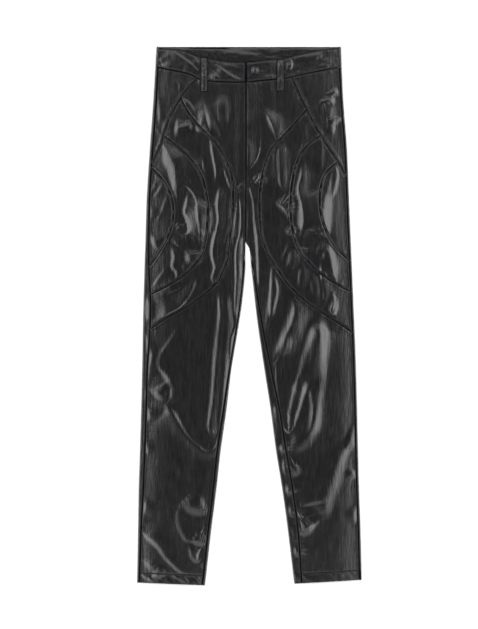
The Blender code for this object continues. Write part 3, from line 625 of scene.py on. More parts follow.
class SeamLines:
    """All seams of one leg as points, to find how far a place is from the nearest and which it is."""

    STEP = 0.4
    FIRST = 30.0  # where down the first point is

    def __init__(self, leg):
        labels, places, runs = [], [], []
        at = np.arange(self.FIRST, LENGTH, self.STEP / 3)
        bounds = dict.fromkeys(CUT_SEAMS, ["side", "slant"]) | {"slant": ["side"], "side": ["outline"]}
        for label, limits in bounds.items():
            out = leg.line([label], at)
            shown = np.isfinite(out) & (out <= leg.line(limits, at) + 0.01)
            self.keep(labels, places, runs, label, leg.side * out[shown], at[shown])
        below = at > CROTCH
        self.keep(labels, places, runs, "inner_leg", leg.side * leg.inner_seam(at[below]), at[below])
        above = at[~below]
        self.keep(labels, places, runs, "middle_front", middle(above), above)
        across = np.linspace(0, leg.side * 168, 1200)
        self.keep(labels, places, runs, "waist", across, along(BAND_EDGES, 2, across))
        self.labels, self.places, self.runs = labels, np.concatenate(places), np.concatenate(runs)
        self.label_of = np.concatenate([[i] * len(p) for i, p in enumerate(places)])
        self.tree = kdtree.KDTree(len(self.places))
        for i, (x, down) in enumerate(self.places):
            self.tree.insert((x, down, 0.0), i)
        self.tree.balance()

    @staticmethod
    def keep(labels, places, runs, label, x, down):
        """Keeps a line with the length run along it up to each point."""
        if len(x) < 2:
            return
        run = np.concatenate([[0], np.cumsum(np.hypot(np.diff(x), np.diff(down)))])
        labels.append(label)
        places.append(np.stack([x, down], 1))
        runs.append(run)

    def nearest(self, x, down):
        """Each place's distance from the nearest seam, that seam's number and the length run along it."""
        found = [self.tree.find((a, b, 0.0))[1:] for a, b in zip(x.tolist(), down.tolist())]
        index = np.array([i for i, _ in found])
        return np.array([d for _, d in found]), self.label_of[index], self.runs[index]


SEAM_LINES = {}


def seam_lines(leg):
    if leg.name not in SEAM_LINES:
        SEAM_LINES[leg.name] = SeamLines(leg)
    return SEAM_LINES[leg.name]


def edge_share(leg, x, down, reach):
    """0 at the leg's edges and 1 between them."""
    out = leg.side * x
    from_side = leg.outer(down) - out
    apex = np.hypot(x - middle(CROTCH), down - CROTCH)
    from_inner = np.where(down > CROTCH, out - leg.inner(down), apex)
    near = np.maximum(np.minimum(from_side, from_inner) - EDGE_ROUND, 0.0)
    return 1.0 - np.exp(-((near / reach) ** 2))


def fly(x, down):
    """1 over the fly's layers, 0 away from them."""
    across = ease(x, FLY_SPAN[0] - 14, FLY_SPAN[0]) * (1 - ease(x, FLY_SPAN[1], FLY_SPAN[1] + 14))
    return across * (1 - ease(down, FLY_END + 4, FLY_END + 34))


def loop_room(x, down):
    """Low under the belt loops, where the cloth lies smooth."""
    room = np.ones_like(x)
    calm, beside, below = LOOP_CALM
    for size in LOOPS.values():
        away = np.maximum(np.abs(x - size["out"]) - size["width"] / 2, 0.0)
        above = 1 - ease(down, size["end"], size["end"] + below)
        room *= 1 - calm * np.exp(-((away / beside) ** 2)) * above
    return room


def fly_edge(x, down):
    """The lap's edge on the wearer's left front, its turned stitching and the crinkles at its end."""
    past = x - middle(down)
    lap = LAP_LIFT * (1 - ease(past, 0.0, LAP_WIDTH)) * (1 - ease(down, FLY_END - 14, FLY_END - 2))
    start, length, depth = J_CURVE
    turn = np.sqrt(np.clip(1 - ((down - start) / length) ** 2, 0.0, 1.0))
    from_line = past - J_STITCH + depth * (1 - turn) * (down > start)
    turned = groove(from_line, "fly_stitch") + 0.10 * np.exp(-((from_line / 2.6) ** 2))
    out, end, half_width, half_length = CRINKLES
    away = np.hypot((past - out) / half_width, (down - end) / half_length)
    crinkle = 0.5 * PUCKER(x + 0.7 * down, down * 0.4, 3.0, 3.0) * np.exp(-(away**2))
    return (lap + turned) * (past > 0) * (1 - ease(down, FLY_END - 6, FLY_END + 2)) + crinkle


def waves(rumple, x, down, height, wide, long):
    return height * rumple(x, down, wide, long)


def front_form(leg, x, down, strength):
    """The front's height with its folds, before its seams."""
    share = edge_share(leg, x, down, PUFF_REACH)
    height = 2 * EDGE_ROUND + share * (PUFF + FLY_LIFT * fly(x, down))
    folds = np.zeros_like(height)
    for other in LEGS:
        for crease in other.creases:
            crease.add(x, down, folds)
    smooth = loop_room(x, down)
    height += strength * folds * edge_share(leg, x, down, FOLD_REACH) * smooth
    if leg.side > 0:
        height += fly_edge(x, down)
    height += share * (waves(BROAD, x, down, *BROAD_WAVES) + waves(SMALL, x, down, *SMALL_WAVES))
    return height


def groove(distance, kind):
    """A sharp-shouldered groove, so that it shows as a dark line with no bright borders."""
    depth, half_width = GROOVES[kind]
    return -depth * np.maximum(1.0 - np.abs(distance) / half_width, 0.0)


def shade_line(distance, kind):
    """Painted shade, up to 1 at a sunken line and 0 away from it: the material loses its gloss and shows
    dark there.
    """
    strength, half_width = SHADES[kind]
    return strength * np.exp(-((distance / half_width) ** 2))


def smooth_band(distance, low, high, soft):
    return ease(distance, low - soft, low + soft) * (1 - ease(distance, high - soft, high + soft))


def pulls(distance, kind, close, wide):
    """Puckers beside a seam, from unevenness of both sizes."""
    close_height, wide_height, reach, start, full = PULLS[kind]
    size = np.exp(-distance / reach) * ease(distance, start, full)
    return size * (close_height * close + wide_height * wide)


def swell(distance, kind):
    """A low swell beside a seam that has no rib."""
    height, place, half_width = SWELLS[kind]
    return height * np.exp(-(((distance - place) / half_width) ** 2))


def seam_relief(leg, x, down, ribs, looks):
    """The dip at each seam, the stitched rib beside it and the puckers that the stitches pull, with
    painted shade in the sunken lines.
    """
    lines = seam_lines(leg)
    distance, label, run = lines.nearest(x, down)
    # painted shade along every seam's dip, with more beside ribs, the waist and plain seams
    relief, shade = np.zeros_like(distance), shade_line(distance, "seam")
    for i, name in enumerate(lines.labels):
        here = label == i
        if not here.any():
            continue
        d, r = distance[here], run[here]
        change, dull = groove(d, "seam"), 0.0
        close = PUCKER(r, np.full_like(r, 50.0 * i), SEAM_PUCKERS[0], 1.0)
        wide = PUCKER(r, np.full_like(r, 50.0 * i + 7), SEAM_PUCKERS[1], 1.0)
        if name in ribs:
            width = looks.rib_width / MM
            stitched = d - width - STITCH_ASIDE
            dull = shade_line(stitched, "rib_stitch")
            change += looks.rib_height / MM * smooth_band(d, 1.5, width - 0.7, 0.5)
            change += 0.5 * close * smooth_band(d, 1.2, width - 0.5, 0.6)
            change += groove(stitched, "rib_stitch") + pulls(d - width, "rib", close, wide)
        elif name in CUT_SEAMS:
            change += swell(d, "cut") + pulls(d, "cut", close, wide)
        elif name == "waist":
            dull = shade_line(d - 1.0, "waist")
            change += pulls(d, "waist", close, wide)
        else:
            dull = shade_line(d - 0.8, "plain")
            change += swell(d, "plain") + pulls(d, "plain", close, wide)
        shade[here] = np.maximum(shade[here], dull)
        relief[here] += change
    return relief, shade


def hem_above(x, down):
    return np.interp(x, *zip(*HEM)) - down


def hem_relief(x, down):
    """The turned-up hem, a little thicker below a stitched line, with puckers slanting from it."""
    above = hem_above(x, down)
    turned = 0.2 * (1 - ease(above, HEM_DEPTH - 1.5, HEM_DEPTH + 1.5))
    pulled = np.where(x < 0, *HEM_PULLS) * np.exp(-(((above - HEM_DEPTH + 8) / 7.0) ** 2))
    pulled *= PUCKER(x + 0.8 * above, above * 0.05, 6.5, 1.0)
    return turned + groove(above - HEM_DEPTH, "hem_stitch") + pulled


def spread(width, columns):
    """Places across a row, close together near both edges."""
    zone = np.minimum(CLOSE_ZONE, 0.34 * width)
    count = columns // 3
    inner_count = columns - 2 * count
    steps = (np.linspace(0, 1, count + 1)) ** 1.35
    near = zone[:, None] * steps[None, :]
    between = zone[:, None] + (width - 2 * zone)[:, None] * np.linspace(0, 1, inner_count + 1)[None, 1:-1]
    far = width[:, None] - zone[:, None] * steps[None, ::-1]
    return np.concatenate([near, between, far], axis=1)


def to_world(x, down, height):
    return np.stack([x * MM, (LENGTH / 2 - down) * MM, height * MM], axis=-1)


def linked(name, data):
    thing = bpy.data.objects.new(name, data)
    bpy.context.scene.collection.objects.link(thing)
    return thing


def solid_object(name, data, material, sharp):
    data.shade_smooth()
    data.set_sharp_from_angle(angle=math.radians(sharp))
    data.materials.append(material)
    return linked(name, data)


def shell(name, outer, inner, material, shade=np.zeros(0)):
    """A closed wall: a grid outside, a coarser or like one inside, and a rim that joins them."""
    rows, columns = outer.shape[:2]
    count = rows * columns
    fine = np.arange(count).reshape(rows, columns)
    coarse_rows, coarse_columns = inner.shape[:2]
    coarse = count + np.arange(coarse_rows * coarse_columns).reshape(coarse_rows, coarse_columns)

    def quads(grid, turned):
        corners = [grid[:-1, :-1], grid[:-1, 1:], grid[1:, 1:], grid[1:, :-1]]
        if turned:
            corners = corners[::-1]
        return np.stack([c.ravel() for c in corners], 1).tolist()

    def border(grid):
        return np.concatenate([grid[0, :-1], grid[:-1, -1], grid[-1, :0:-1], grid[:0:-1, 0]])

    faces = quads(fine, False) + quads(coarse, True)
    edge, lining = border(fine), border(coarse)
    stride = len(edge) // len(lining)
    for k in range(len(lining)):
        here, there = int(lining[k]), int(lining[(k + 1) % len(lining)])
        for i in range(k * stride, (k + 1) * stride):
            faces.append([int(edge[(i + 1) % len(edge)]), int(edge[i]), here])
        faces.append([int(edge[(k + 1) * stride % len(edge)]), here, there])
    points = np.concatenate([outer.reshape(-1, 3), inner.reshape(-1, 3)])
    data = bpy.data.meshes.new(name)
    data.from_pydata(points.tolist(), [], faces)
    corners = np.array([face[:3] for face in faces])
    a, b, c = (points[corners[:, i]] for i in range(3))
    if np.einsum("ij,ij->i", a, np.cross(b, c)).sum() < 0:
        data.flip_normals()
    data.update()
    # the painted shade, kept as a point attribute
    values = np.zeros(len(points), np.float32)
    values[: shade.size] = shade.ravel()
    data.attributes.new(SHADE, "FLOAT", "POINT").data.foreach_set("value", values)
    return solid_object(name, data, material, 50)


def front_rows(leg, near_names, far_names, step):
    """Rows of a piece between where it is wide enough to begin and where it ends."""
    scan = np.arange(FIRST_ROW, LENGTH, 0.25)
    near, far = leg.edge(near_names, scan, 1), leg.edge(far_names, scan, -1)
    wide = (far - near > TIP) & (near < 300)
    first = int(np.argmax(wide))
    ends = np.flatnonzero(~wide[first:])
    last = first + int(ends[0]) - 1 if len(ends) else len(scan) - 1
    low, high = scan[first], min(scan[last], LAST_ROW)
    count = max(int((high - low) / step / STRIDE), 2) * STRIDE
    return np.linspace(low, high, count + 1)


def cloth_piece(thing, node):
    """Attaches a piece of cloth to the body and hides the solid that it stands for."""
    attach(thing, BODY)
    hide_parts(node)


def coarser():
    return 1.0


def build_front(leg, name, looks, material):
    near_names, far_names, ribs = FRONT_PIECES[name]
    step = looks.grid / MM * coarser()
    rows = front_rows(leg, near_names, far_names, step)
    near, far = leg.edge(near_names, rows, 1), leg.edge(far_names, rows, -1)
    widest = float(np.max(far - near))
    columns = max(int((widest + 2 * CLOSE_ZONE) / step / (3 * STRIDE)), 2) * 3 * STRIDE
    out = near[:, None] + spread(far - near, columns)
    x = leg.side * out
    row = np.repeat(rows[:, None], out.shape[1], axis=1)
    down = down_at(x, row)
    flat_x, flat_down = x.ravel(), down.ravel()
    form = front_form(leg, flat_x, flat_down, looks.fold_strength).reshape(x.shape)
    found = seam_relief(leg, flat_x, flat_down, ribs, looks)
    relief, shade = (values.reshape(x.shape) for values in found)
    relief += np.where(row > HEM_FADE[0], hem_relief(x, down), 0.0)
    # painted shade in the hem's stitched line
    shade = np.maximum(shade, shade_line(hem_above(x, down) - HEM_DEPTH, "hem_stitch"))
    outer = to_world(x, down, form + relief)
    inner = to_world(x[COARSE], down[COARSE], form[COARSE] - WALL)
    part = f"{name}_{leg.name}"
    thing = shell(f"{part}_cloth", outer, inner, material, shade)
    cloth_piece(thing, part)


def turned_edge(out, sign, radius, thick, turn, steps):
    """Places (out, height) round a turned edge for one row, on the outside and the inside."""
    sweep = math.pi * max(turn, 0.001)
    bend = math.pi * radius / sweep
    reach = bend if turn >= 0.5 else bend * math.sin(sweep) + TURN_TIP * math.cos(sweep)
    start = out - sign * reach
    a = sweep * np.linspace(0.0, 1.0, steps + 1)
    return [
        np.stack([start + sign * r * np.sin(a), bend - r * np.cos(a)], 1) for r in (bend, bend - thick)
    ]


def build_back(leg, looks, material):
    """A back: flat under the leg, turned over its side and inner leg on to the front's seams."""
    count = int((LENGTH - WAIST_FADE[0]) / (BACK_STEP * coarser()) / STRIDE) * STRIDE
    rows = np.linspace(FIRST_ROW, LAST_ROW, count + 1)
    lines = (leg.outer, leg.inner, leg.side_seam, leg.inner_seam)
    out, near, seam, inner_seam = (leg.on_row(line, rows, True)[0] for line in lines)
    bends, strip, flat = 8, 12, 24
    towards_seam = 1.0 - (1.0 - np.linspace(0, 1, strip + 1)[1:]) ** 1.9
    on_front = np.full(strip, np.nan)  # heights that are filled in from the front's form
    walls = ([], [])
    for i, row in enumerate(rows):
        turn = float(np.clip((row - BACK_TURNS[0]) / (BACK_TURNS[1] - BACK_TURNS[0]), 0.0, 1.0))
        edge = near[i] + SEAM_GAP / 2 * (turn == 0.0)
        far_skins = turned_edge(out[i], 1, EDGE_ROUND, WALL, 1.0, bends)
        near_skins = turned_edge(edge, -1, EDGE_ROUND, WALL, turn, bends)
        for wall, far, close, level in zip(walls, far_skins, near_skins, (0.0, WALL)):
            last = far[-1, 0]
            far_at = last + (seam[i] + SEAM_GAP / 2 - last) * towards_seam
            far_strip = np.stack([far_at, on_front], 1)
            last, height = close[-1]
            if turn >= 1.0:
                near_at = last + (inner_seam[i] - SEAM_GAP / 2 - last) * towards_seam
                near_strip = np.stack([near_at, on_front], 1)
            else:
                sweep, run = math.pi * turn, TURN_TIP * towards_seam
                near_strip = np.stack([last - run * math.cos(sweep), height + run * math.sin(sweep)], 1)
            under = np.linspace(close[0, 0], far[0, 0], flat + 1)[1:-1]
            under = np.stack([under, np.full(flat - 1, level)], 1)
            wall.append(np.concatenate([near_strip[::-1], close[::-1], under, far, far_strip]))
    outer, inner = np.array(walls[0]), np.array(walls[1])
    grids, shade = [], np.zeros(outer.shape[:2])
    for grid, drop in ((outer, 0.0), (inner, WALL)):
        x = leg.side * grid[..., 0]
        down = down_at(x, np.repeat(rows[:, None], x.shape[1], axis=1), True)
        height = grid[..., 1].copy()
        free = np.isnan(height)
        top = front_form(leg, x[free], down[free], looks.fold_strength)
        if drop == 0.0:
            # painted shade along the seams
            relief, shade[free] = seam_relief(leg, x[free], down[free], set(), looks)
            top += relief
            top += np.where(down[free] > HEM_FADE[0], hem_relief(x[free], down[free]), 0.0)
        height[free] = top - drop
        grids.append(to_world(x, down, height))
    thing = shell(f"back_{leg.name}_cloth", grids[0], grids[1][COARSE], material, shade)
    cloth_piece(thing, f"back_{leg.name}")


def band_base(x):
    """How high the front of the waistband lies, before its creases."""
    right, left = LEGS
    near = np.where(x < middle(0), right.outer(BAND_LEVEL) + x, left.outer(BAND_LEVEL) - x) - BAND_ROUND
    share = 1.0 - np.exp(-((np.maximum(near, 0.0) / BAND_REACH) ** 2))
    return 2 * BAND_ROUND + share * BAND_PUFF


def lap_base(x):
    """The wearer's left front lies over the right at the middle."""
    return band_base(x) + 0.85 * (1 - ease(x, 34, 52))


def underlap_base(x):
    """The wearer's right front goes down under the left at the middle."""
    drop = lap_base(np.array(8.0)) - BAND_WALL - SEAM_GAP - band_base(np.array(8.0))
    return band_base(x) + drop * ease(x, -7.9, -5.2)


BAND_FOLDS = [read_crease(*row) for row in BAND_CREASES]
INSIDE_FOLDS = [Crease(*row) for row in INSIDE_CREASES]


def band_relief(x, down, high, low, seed):
    """Creases, sunken edges, two stitched lines and the puckers between them."""
    folds = np.zeros(x.size)
    for crease in BAND_FOLDS:
        crease.add(x.ravel(), down.ravel(), folds)
    folds = folds.reshape(x.shape) * loop_room(x, down)
    from_top, from_seam = down - high, low - down
    near = np.minimum(from_top, from_seam)
    relief = folds * ease(near, 0.0, 5.0)
    relief += groove(near, "band_edge") + groove(near - BAND_STITCH - 0.4, "band_stitch")
    close = PUCKER(x, np.full_like(x, seed), BAND_PUCKERS[0], 1.0)
    wide = PUCKER(x + 0.8 * down, down * 0.06, BAND_PUCKERS[1], 1.0)
    relief += 0.24 * close * np.exp(-((near - BAND_STITCH) / 4.0) ** 2)
    relief += 0.30 * wide * ease(near, 1.0, 8.0)
    return relief + waves(SMALL, x, down, *BAND_WAVES) * ease(near, 1.0, 5.0)


def build_band_front(leg, base, first, last, material):
    columns = int(abs(last - first) / (1.25 * coarser()) / STRIDE) * STRIDE
    x = np.linspace(first, last, columns + 1)
    high = along(BAND_EDGES, 1, x)
    low = along(BAND_EDGES, 2, x) - SEAM_GAP
    at_top, at_seam = [0, 0.012, 0.03, 0.05, 0.08], [0.92, 0.95, 0.97, 0.988, 1]
    shares = np.concatenate([at_top, np.linspace(0.11, 0.89, 23), at_seam])
    down = high[:, None] + (low - high)[:, None] * shares[None, :]
    end = leg.side_seam(BAND_LEVEL)
    near_end = ease(leg.side * x, end - 30, end - 1)
    place = x[:, None] + leg.side * (leg.side_seam(down) - end) * near_end[:, None]
    form = np.repeat(base(x)[:, None], len(shares), axis=1)
    relief = band_relief(place, down, high[:, None], low[:, None], 5.0 * leg.side)
    near = np.minimum(down - high[:, None], low[:, None] - down)
    # painted shade in the sunken edges and stitched lines
    shade = np.maximum(shade_line(near, "band_edge"), shade_line(near - BAND_STITCH - 0.4, "band_stitch"))
    if base is underlap_base:
        relief *= 1 - ease(place, -12, -8)
        # painted shade where the right front goes down under the left
        shade = np.maximum(shade, ease(place, -10.5, -8.0))
    outer = to_world(place, down, form + relief)
    inner = to_world(place[COARSE], down[COARSE], form[COARSE] - BAND_WALL)
    part = f"waistband_front_{leg.name}"
    thing = shell(f"{part}_cloth", outer, inner, material, shade)
    cloth_piece(thing, part)


def build_band_back(material):
    """The back of the band, whose inside shows above the front and whose ends turn over."""
    depth = BAND_DEPTH - SEAM_GAP / 2
    rows = np.linspace(0.0, depth, 25)
    grids = ([], [])
    for row in rows:
        ends = []
        for leg in LEGS:
            skins = turned_edge(float(leg.outer(row)), 1, BAND_ROUND, BAND_WALL, 1.0, 8)
            finish = float(leg.side_seam(row)) + SEAM_GAP / 2
            full = []
            for skin, drop in zip(skins, (0.0, BAND_WALL)):
                at = np.linspace(skin[-1, 0], finish, 5)[1:]
                sink = 0.7 * math.exp(-((min(row, depth - row) / 0.8) ** 2)) if drop == 0 else 0.0
                height = band_base(leg.side * at) - drop - sink
                full.append(np.concatenate([skin, np.stack([at, height], 1)]))
            ends.append(full)
        for grid, right, left, level in zip(grids, *ends, (0.0, BAND_WALL)):
            across = np.linspace(-right[0, 0], left[0, 0], 245)[1:-1]
            between = np.stack([across, np.full_like(across, level)], 1)
            grid.append(np.concatenate([np.stack([-right[::-1, 0], right[::-1, 1]], 1), between, left]))
    under, inside = np.array(grids[0]), np.array(grids[1])
    x, height = inside[..., 0], inside[..., 1]
    down = np.repeat(rows[:, None], x.shape[1], axis=1)
    flat = (np.abs(height - BAND_WALL) < 0.01) & (np.abs(x) < 160)
    wave = 0.25 * PUCKER(x, down * 0.2, 16.0, 1.0) + 0.1 * PUCKER(x, down * 0.3 + 9, 5.0, 1.0)
    relief = (0.2 + wave) * ease(down, 1.0, 6.0) * (1 - ease(down, 24, 30))
    relief -= 0.5 * np.exp(-((down / 0.8) ** 2)) + 0.28 * np.exp(-(((down - BAND_STITCH) / 0.55) ** 2))
    folds = np.zeros(x.size)
    for crease in INSIDE_FOLDS:
        crease.add(x.ravel(), down.ravel(), folds)
    relief += folds.reshape(x.shape) * INSIDE_SHARE * ease(down, 0.5, 4.0)
    outer = to_world(x, down, height + np.where(flat, relief, 0.0))
    some = (slice(None, None, 2), slice(None, None, 2))
    lining = to_world(under[..., 0], down, under[..., 1])[some]
    thing = shell("waistband_back_cloth", outer, lining, material)
    length = float(LEGS[0].outer(BAND_LEVEL) + LEGS[1].outer(BAND_LEVEL)) + 8.0
    cloth_piece(thing, "waistband_back")


def build_loop(name, material):
    """A belt loop: a strip over the waistband, held at its ends and standing off between them."""
    size = LOOPS[name]
    out, width, length = size["out"], size["width"], size["end"] - size["top"]
    leg = LEGS[0] if out < 0 else LEGS[1]
    share = np.concatenate([[0, 0.006, 0.016], np.linspace(0.03, 0.97, 55), [0.984, 0.994, 1]])
    at_side = np.array([0.86, 0.92, 0.97, 1])
    across = np.concatenate([-at_side[::-1], np.linspace(-0.78, 0.78, 13), at_side])
    down = size["top"] + length * share
    at = np.full_like(down, out)
    on_band = (band_base if out < 0 else lap_base)(at)
    seam = along(BAND_EDGES, 2, out)
    over = 1 - ease(down, seam - 1, seam + 9)
    plain = 2 * EDGE_ROUND + edge_share(leg, at, down, PUFF_REACH) * (PUFF + FLY_LIFT * fly(at, down))
    base = on_band * over + (plain + 0.5) * (1 - over) + SEAM_GAP + 0.25
    base += LOOP_RISE * np.sin(math.pi * share) ** 0.8
    x = out + across[None, :] * width / 2 + 0 * down[:, None]
    rows = np.repeat(down[:, None], len(across), axis=1)
    from_side = (1 - np.abs(across))[None, :] * width / 2
    edge = np.minimum(from_side, np.minimum(rows - size["top"], size["end"] - rows))
    top = base[:, None] + LOOP_WALL + groove(edge, "loop_edge") + groove(from_side - 2.2, "loop_stitch")
    top += 0.45 * PUCKER(x * 0.8, rows, 5.0, 4.0) + 0.3 * (1 - across[None, :] ** 2)
    rumple = np.exp(-(((rows - size["top"] - 0.9 * (x - out) - 9) / 2.6) ** 2))
    top += 0.45 * rumple * np.sign(out) * ease(edge, 0, 2)
    bottom = np.repeat(base[:, None], len(across), axis=1)
    # painted shade in the loop's sunken edge and stitched line, and a little all over
    shade = np.maximum(shade_line(edge, "loop_edge"), shade_line(from_side - 2.2, "loop_stitch"))
    outer, inner = to_world(x, rows, top), to_world(x, rows, bottom)
    thing = shell(name + "_cloth", outer, inner, material, np.maximum(LOOP_SHADE, shade))
    cloth_piece(thing, name)


def turned_metal(name, profile, out, down, base, sides, material):
    """A solid turned about an upright axis from (radius, height) down its outside."""
    mesh = bmesh.new()
    centre = (out * MM, (LENGTH / 2 - down) * MM)
    turns = [2 * math.pi * k / sides for k in range(sides)]
    rings = []
    for radius, height in profile:
        reach, z = radius * MM, (base + height) * MM
        ring = [(centre[0] + math.cos(a) * reach, centre[1] + math.sin(a) * reach, z) for a in turns]
        rings.append([mesh.verts.new(place) for place in (ring if radius else [(*centre, z)])])
    for upper, lower in zip(rings, rings[1:]):
        for k in range(sides):
            here = (upper[k % len(upper)], lower[k % len(lower)])
            there = (lower[(k + 1) % sides % len(lower)], upper[(k + 1) % sides % len(upper)])
            mesh.faces.new(list(dict.fromkeys(here + there)))
    bmesh.ops.recalc_face_normals(mesh, faces=mesh.faces)
    data = bpy.data.meshes.new(name)
    mesh.to_mesh(data)
    mesh.free()
    return solid_object(name, data, material, 35)


# The button from its middle over its rim to its underside: radius, height over the waistband
BUTTON_PROFILE = (
    (0.0, 3.05), (1.2, 3.02), (2.6, 2.88), (3.9, 2.62), (4.6, 2.42), (5.0, 2.36), (5.4, 2.44), (5.9, 2.78),
    (6.4, 3.08), (6.9, 3.2), (7.4, 3.16), (7.9, 2.95), (8.3, 2.6), (8.55, 2.2), (8.6, 1.9), (8.45, 1.6),
    (8.0, 1.4), (4.0, 1.3), (3.0, 1.15), (2.6, 0.9), (2.6, 0.0), (0.0, 0.0),
)


def node(tree, kind, at, **values):
    made = tree.nodes.new(kind)
    made.location = at
    for key, value in values.items():
        if key in made.inputs:
            made.inputs[key].default_value = value
        else:
            setattr(made, key, value)
    return made


def new_material(name):
    material = bpy.data.materials.new(name)
    material.use_nodes = True
    tree = material.node_tree
    return material, tree, tree.nodes["Principled BSDF"]


def varied(tree, source, low, high, at):
    """A number that a noise carries between low and high."""
    mapped = node(tree, "ShaderNodeMapRange", at)
    mapped.inputs["From Min"].default_value = 0.3
    mapped.inputs["From Max"].default_value = 0.7
    mapped.inputs["To Min"].default_value = low
    mapped.inputs["To Max"].default_value = high
    tree.links.new(source, mapped.inputs["Value"])
    return mapped.outputs["Result"]


def tint(colour, share):
    return (*[c * share for c in colour], 1.0)


def drive_colour(tree, shader, factor, low, high, at):
    """Carries the base colour between two colours."""
    mix = node(tree, "ShaderNodeMix", at, data_type="RGBA")
    mix.inputs["A"].default_value = low
    mix.inputs["B"].default_value = high
    tree.links.new(factor, mix.inputs["Factor"])
    tree.links.new(mix.outputs["Result"], shader.inputs["Base Color"])


def bump(tree, height, distance, at, over=None):
    """Turns a texture's height into a normal, over another bump's if there is one."""
    made = node(tree, "ShaderNodeBump", at, Strength=1.0, Distance=distance)
    tree.links.new(height, made.inputs["Height"])
    if over:
        tree.links.new(over, made.inputs["Normal"])
    return made.outputs["Normal"]


def leather_material(looks):
    """Coated cloth: near black, half gloss, with a fine grain drawn out along the leg.

    Painted shade: in the sunken lines it turns dull and metallic, which leaves its dark colour no gloss."""
    if LEATHER_NAME in bpy.data.materials:
        return bpy.data.materials[LEATHER_NAME]
    material, tree, shader = new_material(LEATHER_NAME)
    link = tree.links.new
    place = node(tree, "ShaderNodeTexCoord", (-1200, 0))
    drawn = node(tree, "ShaderNodeMapping", (-1000, 200))
    drawn.inputs["Scale"].default_value = (1.0, 0.14, 1.0)
    link(place.outputs["Object"], drawn.inputs["Vector"])
    streaks = node(tree, "ShaderNodeTexNoise", (-780, 320), Scale=330.0, Detail=3.0, Roughness=0.55)
    grain = node(tree, "ShaderNodeTexVoronoi", (-780, 60), Scale=1150.0)
    patches = node(tree, "ShaderNodeTexNoise", (-780, -220), Scale=42.0, Detail=3.0, Roughness=0.55)
    wrinkles = node(tree, "ShaderNodeTexNoise", (-780, -460), Scale=130.0, Detail=4.0, Roughness=0.6)
    for texture in (streaks, wrinkles):
        link(drawn.outputs["Vector"], texture.inputs["Vector"])
    for texture in (grain, patches):
        link(place.outputs["Object"], texture.inputs["Vector"])
    streak = varied(tree, streaks.outputs["Fac"], 0.0, 1.0, (-520, 320))
    drive_colour(tree, shader, streak, tint(looks.colour, 0.4), tint(looks.colour, 1.9), (-300, 260))
    smoothest, roughest = looks.roughness - 0.01, looks.roughness + 0.015
    # painted shade: the attribute turns the coating metallic and rough, so its near black colour shows no
    # gloss
    sunken = node(tree, "ShaderNodeAttribute", (-520, 0), attribute_name=SHADE)
    dull = node(tree, "ShaderNodeMix", (-300, -20), data_type="FLOAT")
    dull.inputs["B"].default_value = DULL
    link(sunken.outputs["Fac"], dull.inputs["Factor"])
    link(varied(tree, patches.outputs["Fac"], smoothest, roughest, (-520, -200)), dull.inputs["A"])
    link(dull.outputs["Result"], shader.inputs["Roughness"])
    link(sunken.outputs["Fac"], shader.inputs["Metallic"])
    shader.inputs["Specular IOR Level"].default_value = GLOSS
    broad = bump(tree, wrinkles.outputs["Fac"], looks.wrinkle_depth, (-320, -420))
    fine = bump(tree, streaks.outputs["Fac"], looks.grain_depth, (-160, -300), broad)
    pores = bump(tree, grain.outputs["Distance"], looks.grain_depth * 0.1, (0, -200), fine)
    link(pores, shader.inputs["Normal"])
    material.diffuse_color = (*looks.colour, 1.0)
    return material


def thread_material(looks):
    """Spun thread with a faint twist."""
    material, tree, shader = new_material("sewing_thread")
    place = node(tree, "ShaderNodeTexCoord", (-800, 0))
    twist = node(tree, "ShaderNodeTexNoise", (-600, 0), Scale=2600.0, Detail=2.0)
    tree.links.new(place.outputs["Object"], twist.inputs["Vector"])
    shades = tint(looks.colour, 0.7), tint(looks.colour, 1.4)
    drive_colour(tree, shader, twist.outputs["Fac"], *shades, (-200, 100))
    tree.links.new(bump(tree, twist.outputs["Fac"], 0.00005, (-200, -200)), shader.inputs["Normal"])
    shader.inputs["Roughness"].default_value = 0.7
    shader.inputs["Specular IOR Level"].default_value = 0.15
    return material


def metal_material(looks):
    """Dark nickel finish, worn a little brighter in spots."""
    if METAL_NAME in bpy.data.materials:
        return bpy.data.materials[METAL_NAME]
    material, tree, shader = new_material(METAL_NAME)
    place = node(tree, "ShaderNodeTexCoord", (-800, 0))
    wear = node(tree, "ShaderNodeTexNoise", (-600, 0), Scale=700.0, Detail=4.0)
    tree.links.new(place.outputs["Object"], wear.inputs["Vector"])
    worn = varied(tree, wear.outputs["Fac"], 0.0, 1.0, (-400, 100))
    drive_colour(tree, shader, worn, tint(looks.colour, 0.7), tint(looks.colour, 1.8), (-200, 100))
    smoothest, roughest = looks.roughness - 0.06, looks.roughness + 0.1
    rough = varied(tree, wear.outputs["Fac"], smoothest, roughest, (-400, -150))
    tree.links.new(rough, shader.inputs["Roughness"])
    tree.links.new(bump(tree, wear.outputs["Fac"], 0.00006, (-200, -300)), shader.inputs["Normal"])
    shader.inputs["Metallic"].default_value = 1.0
    return material


def tape_material():
    """Woven zip tape: two crossed waves."""
    material, tree, shader = new_material("woven_tape")
    place = node(tree, "ShaderNodeTexCoord", (-900, 0))
    across = node(tree, "ShaderNodeTexWave", (-700, 150), Scale=900.0)
    length = node(tree, "ShaderNodeTexWave", (-700, -150), Scale=900.0, bands_direction="Y")
    for wave in (across, length):
        tree.links.new(place.outputs["Object"], wave.inputs["Vector"])
    weave = node(tree, "ShaderNodeMath", (-480, 0), operation="MULTIPLY")
    tree.links.new(across.outputs["Fac"], weave.inputs[0])
    tree.links.new(length.outputs["Fac"], weave.inputs[1])
    shades = (0.006, 0.006, 0.007, 1.0), (0.016, 0.016, 0.017, 1.0)
    drive_colour(tree, shader, weave.outputs["Value"], *shades, (-250, 100))
    tree.links.new(bump(tree, weave.outputs["Value"], 0.0001, (-250, -200)), shader.inputs["Normal"])
    shader.inputs["Roughness"].default_value = 0.85
    return material


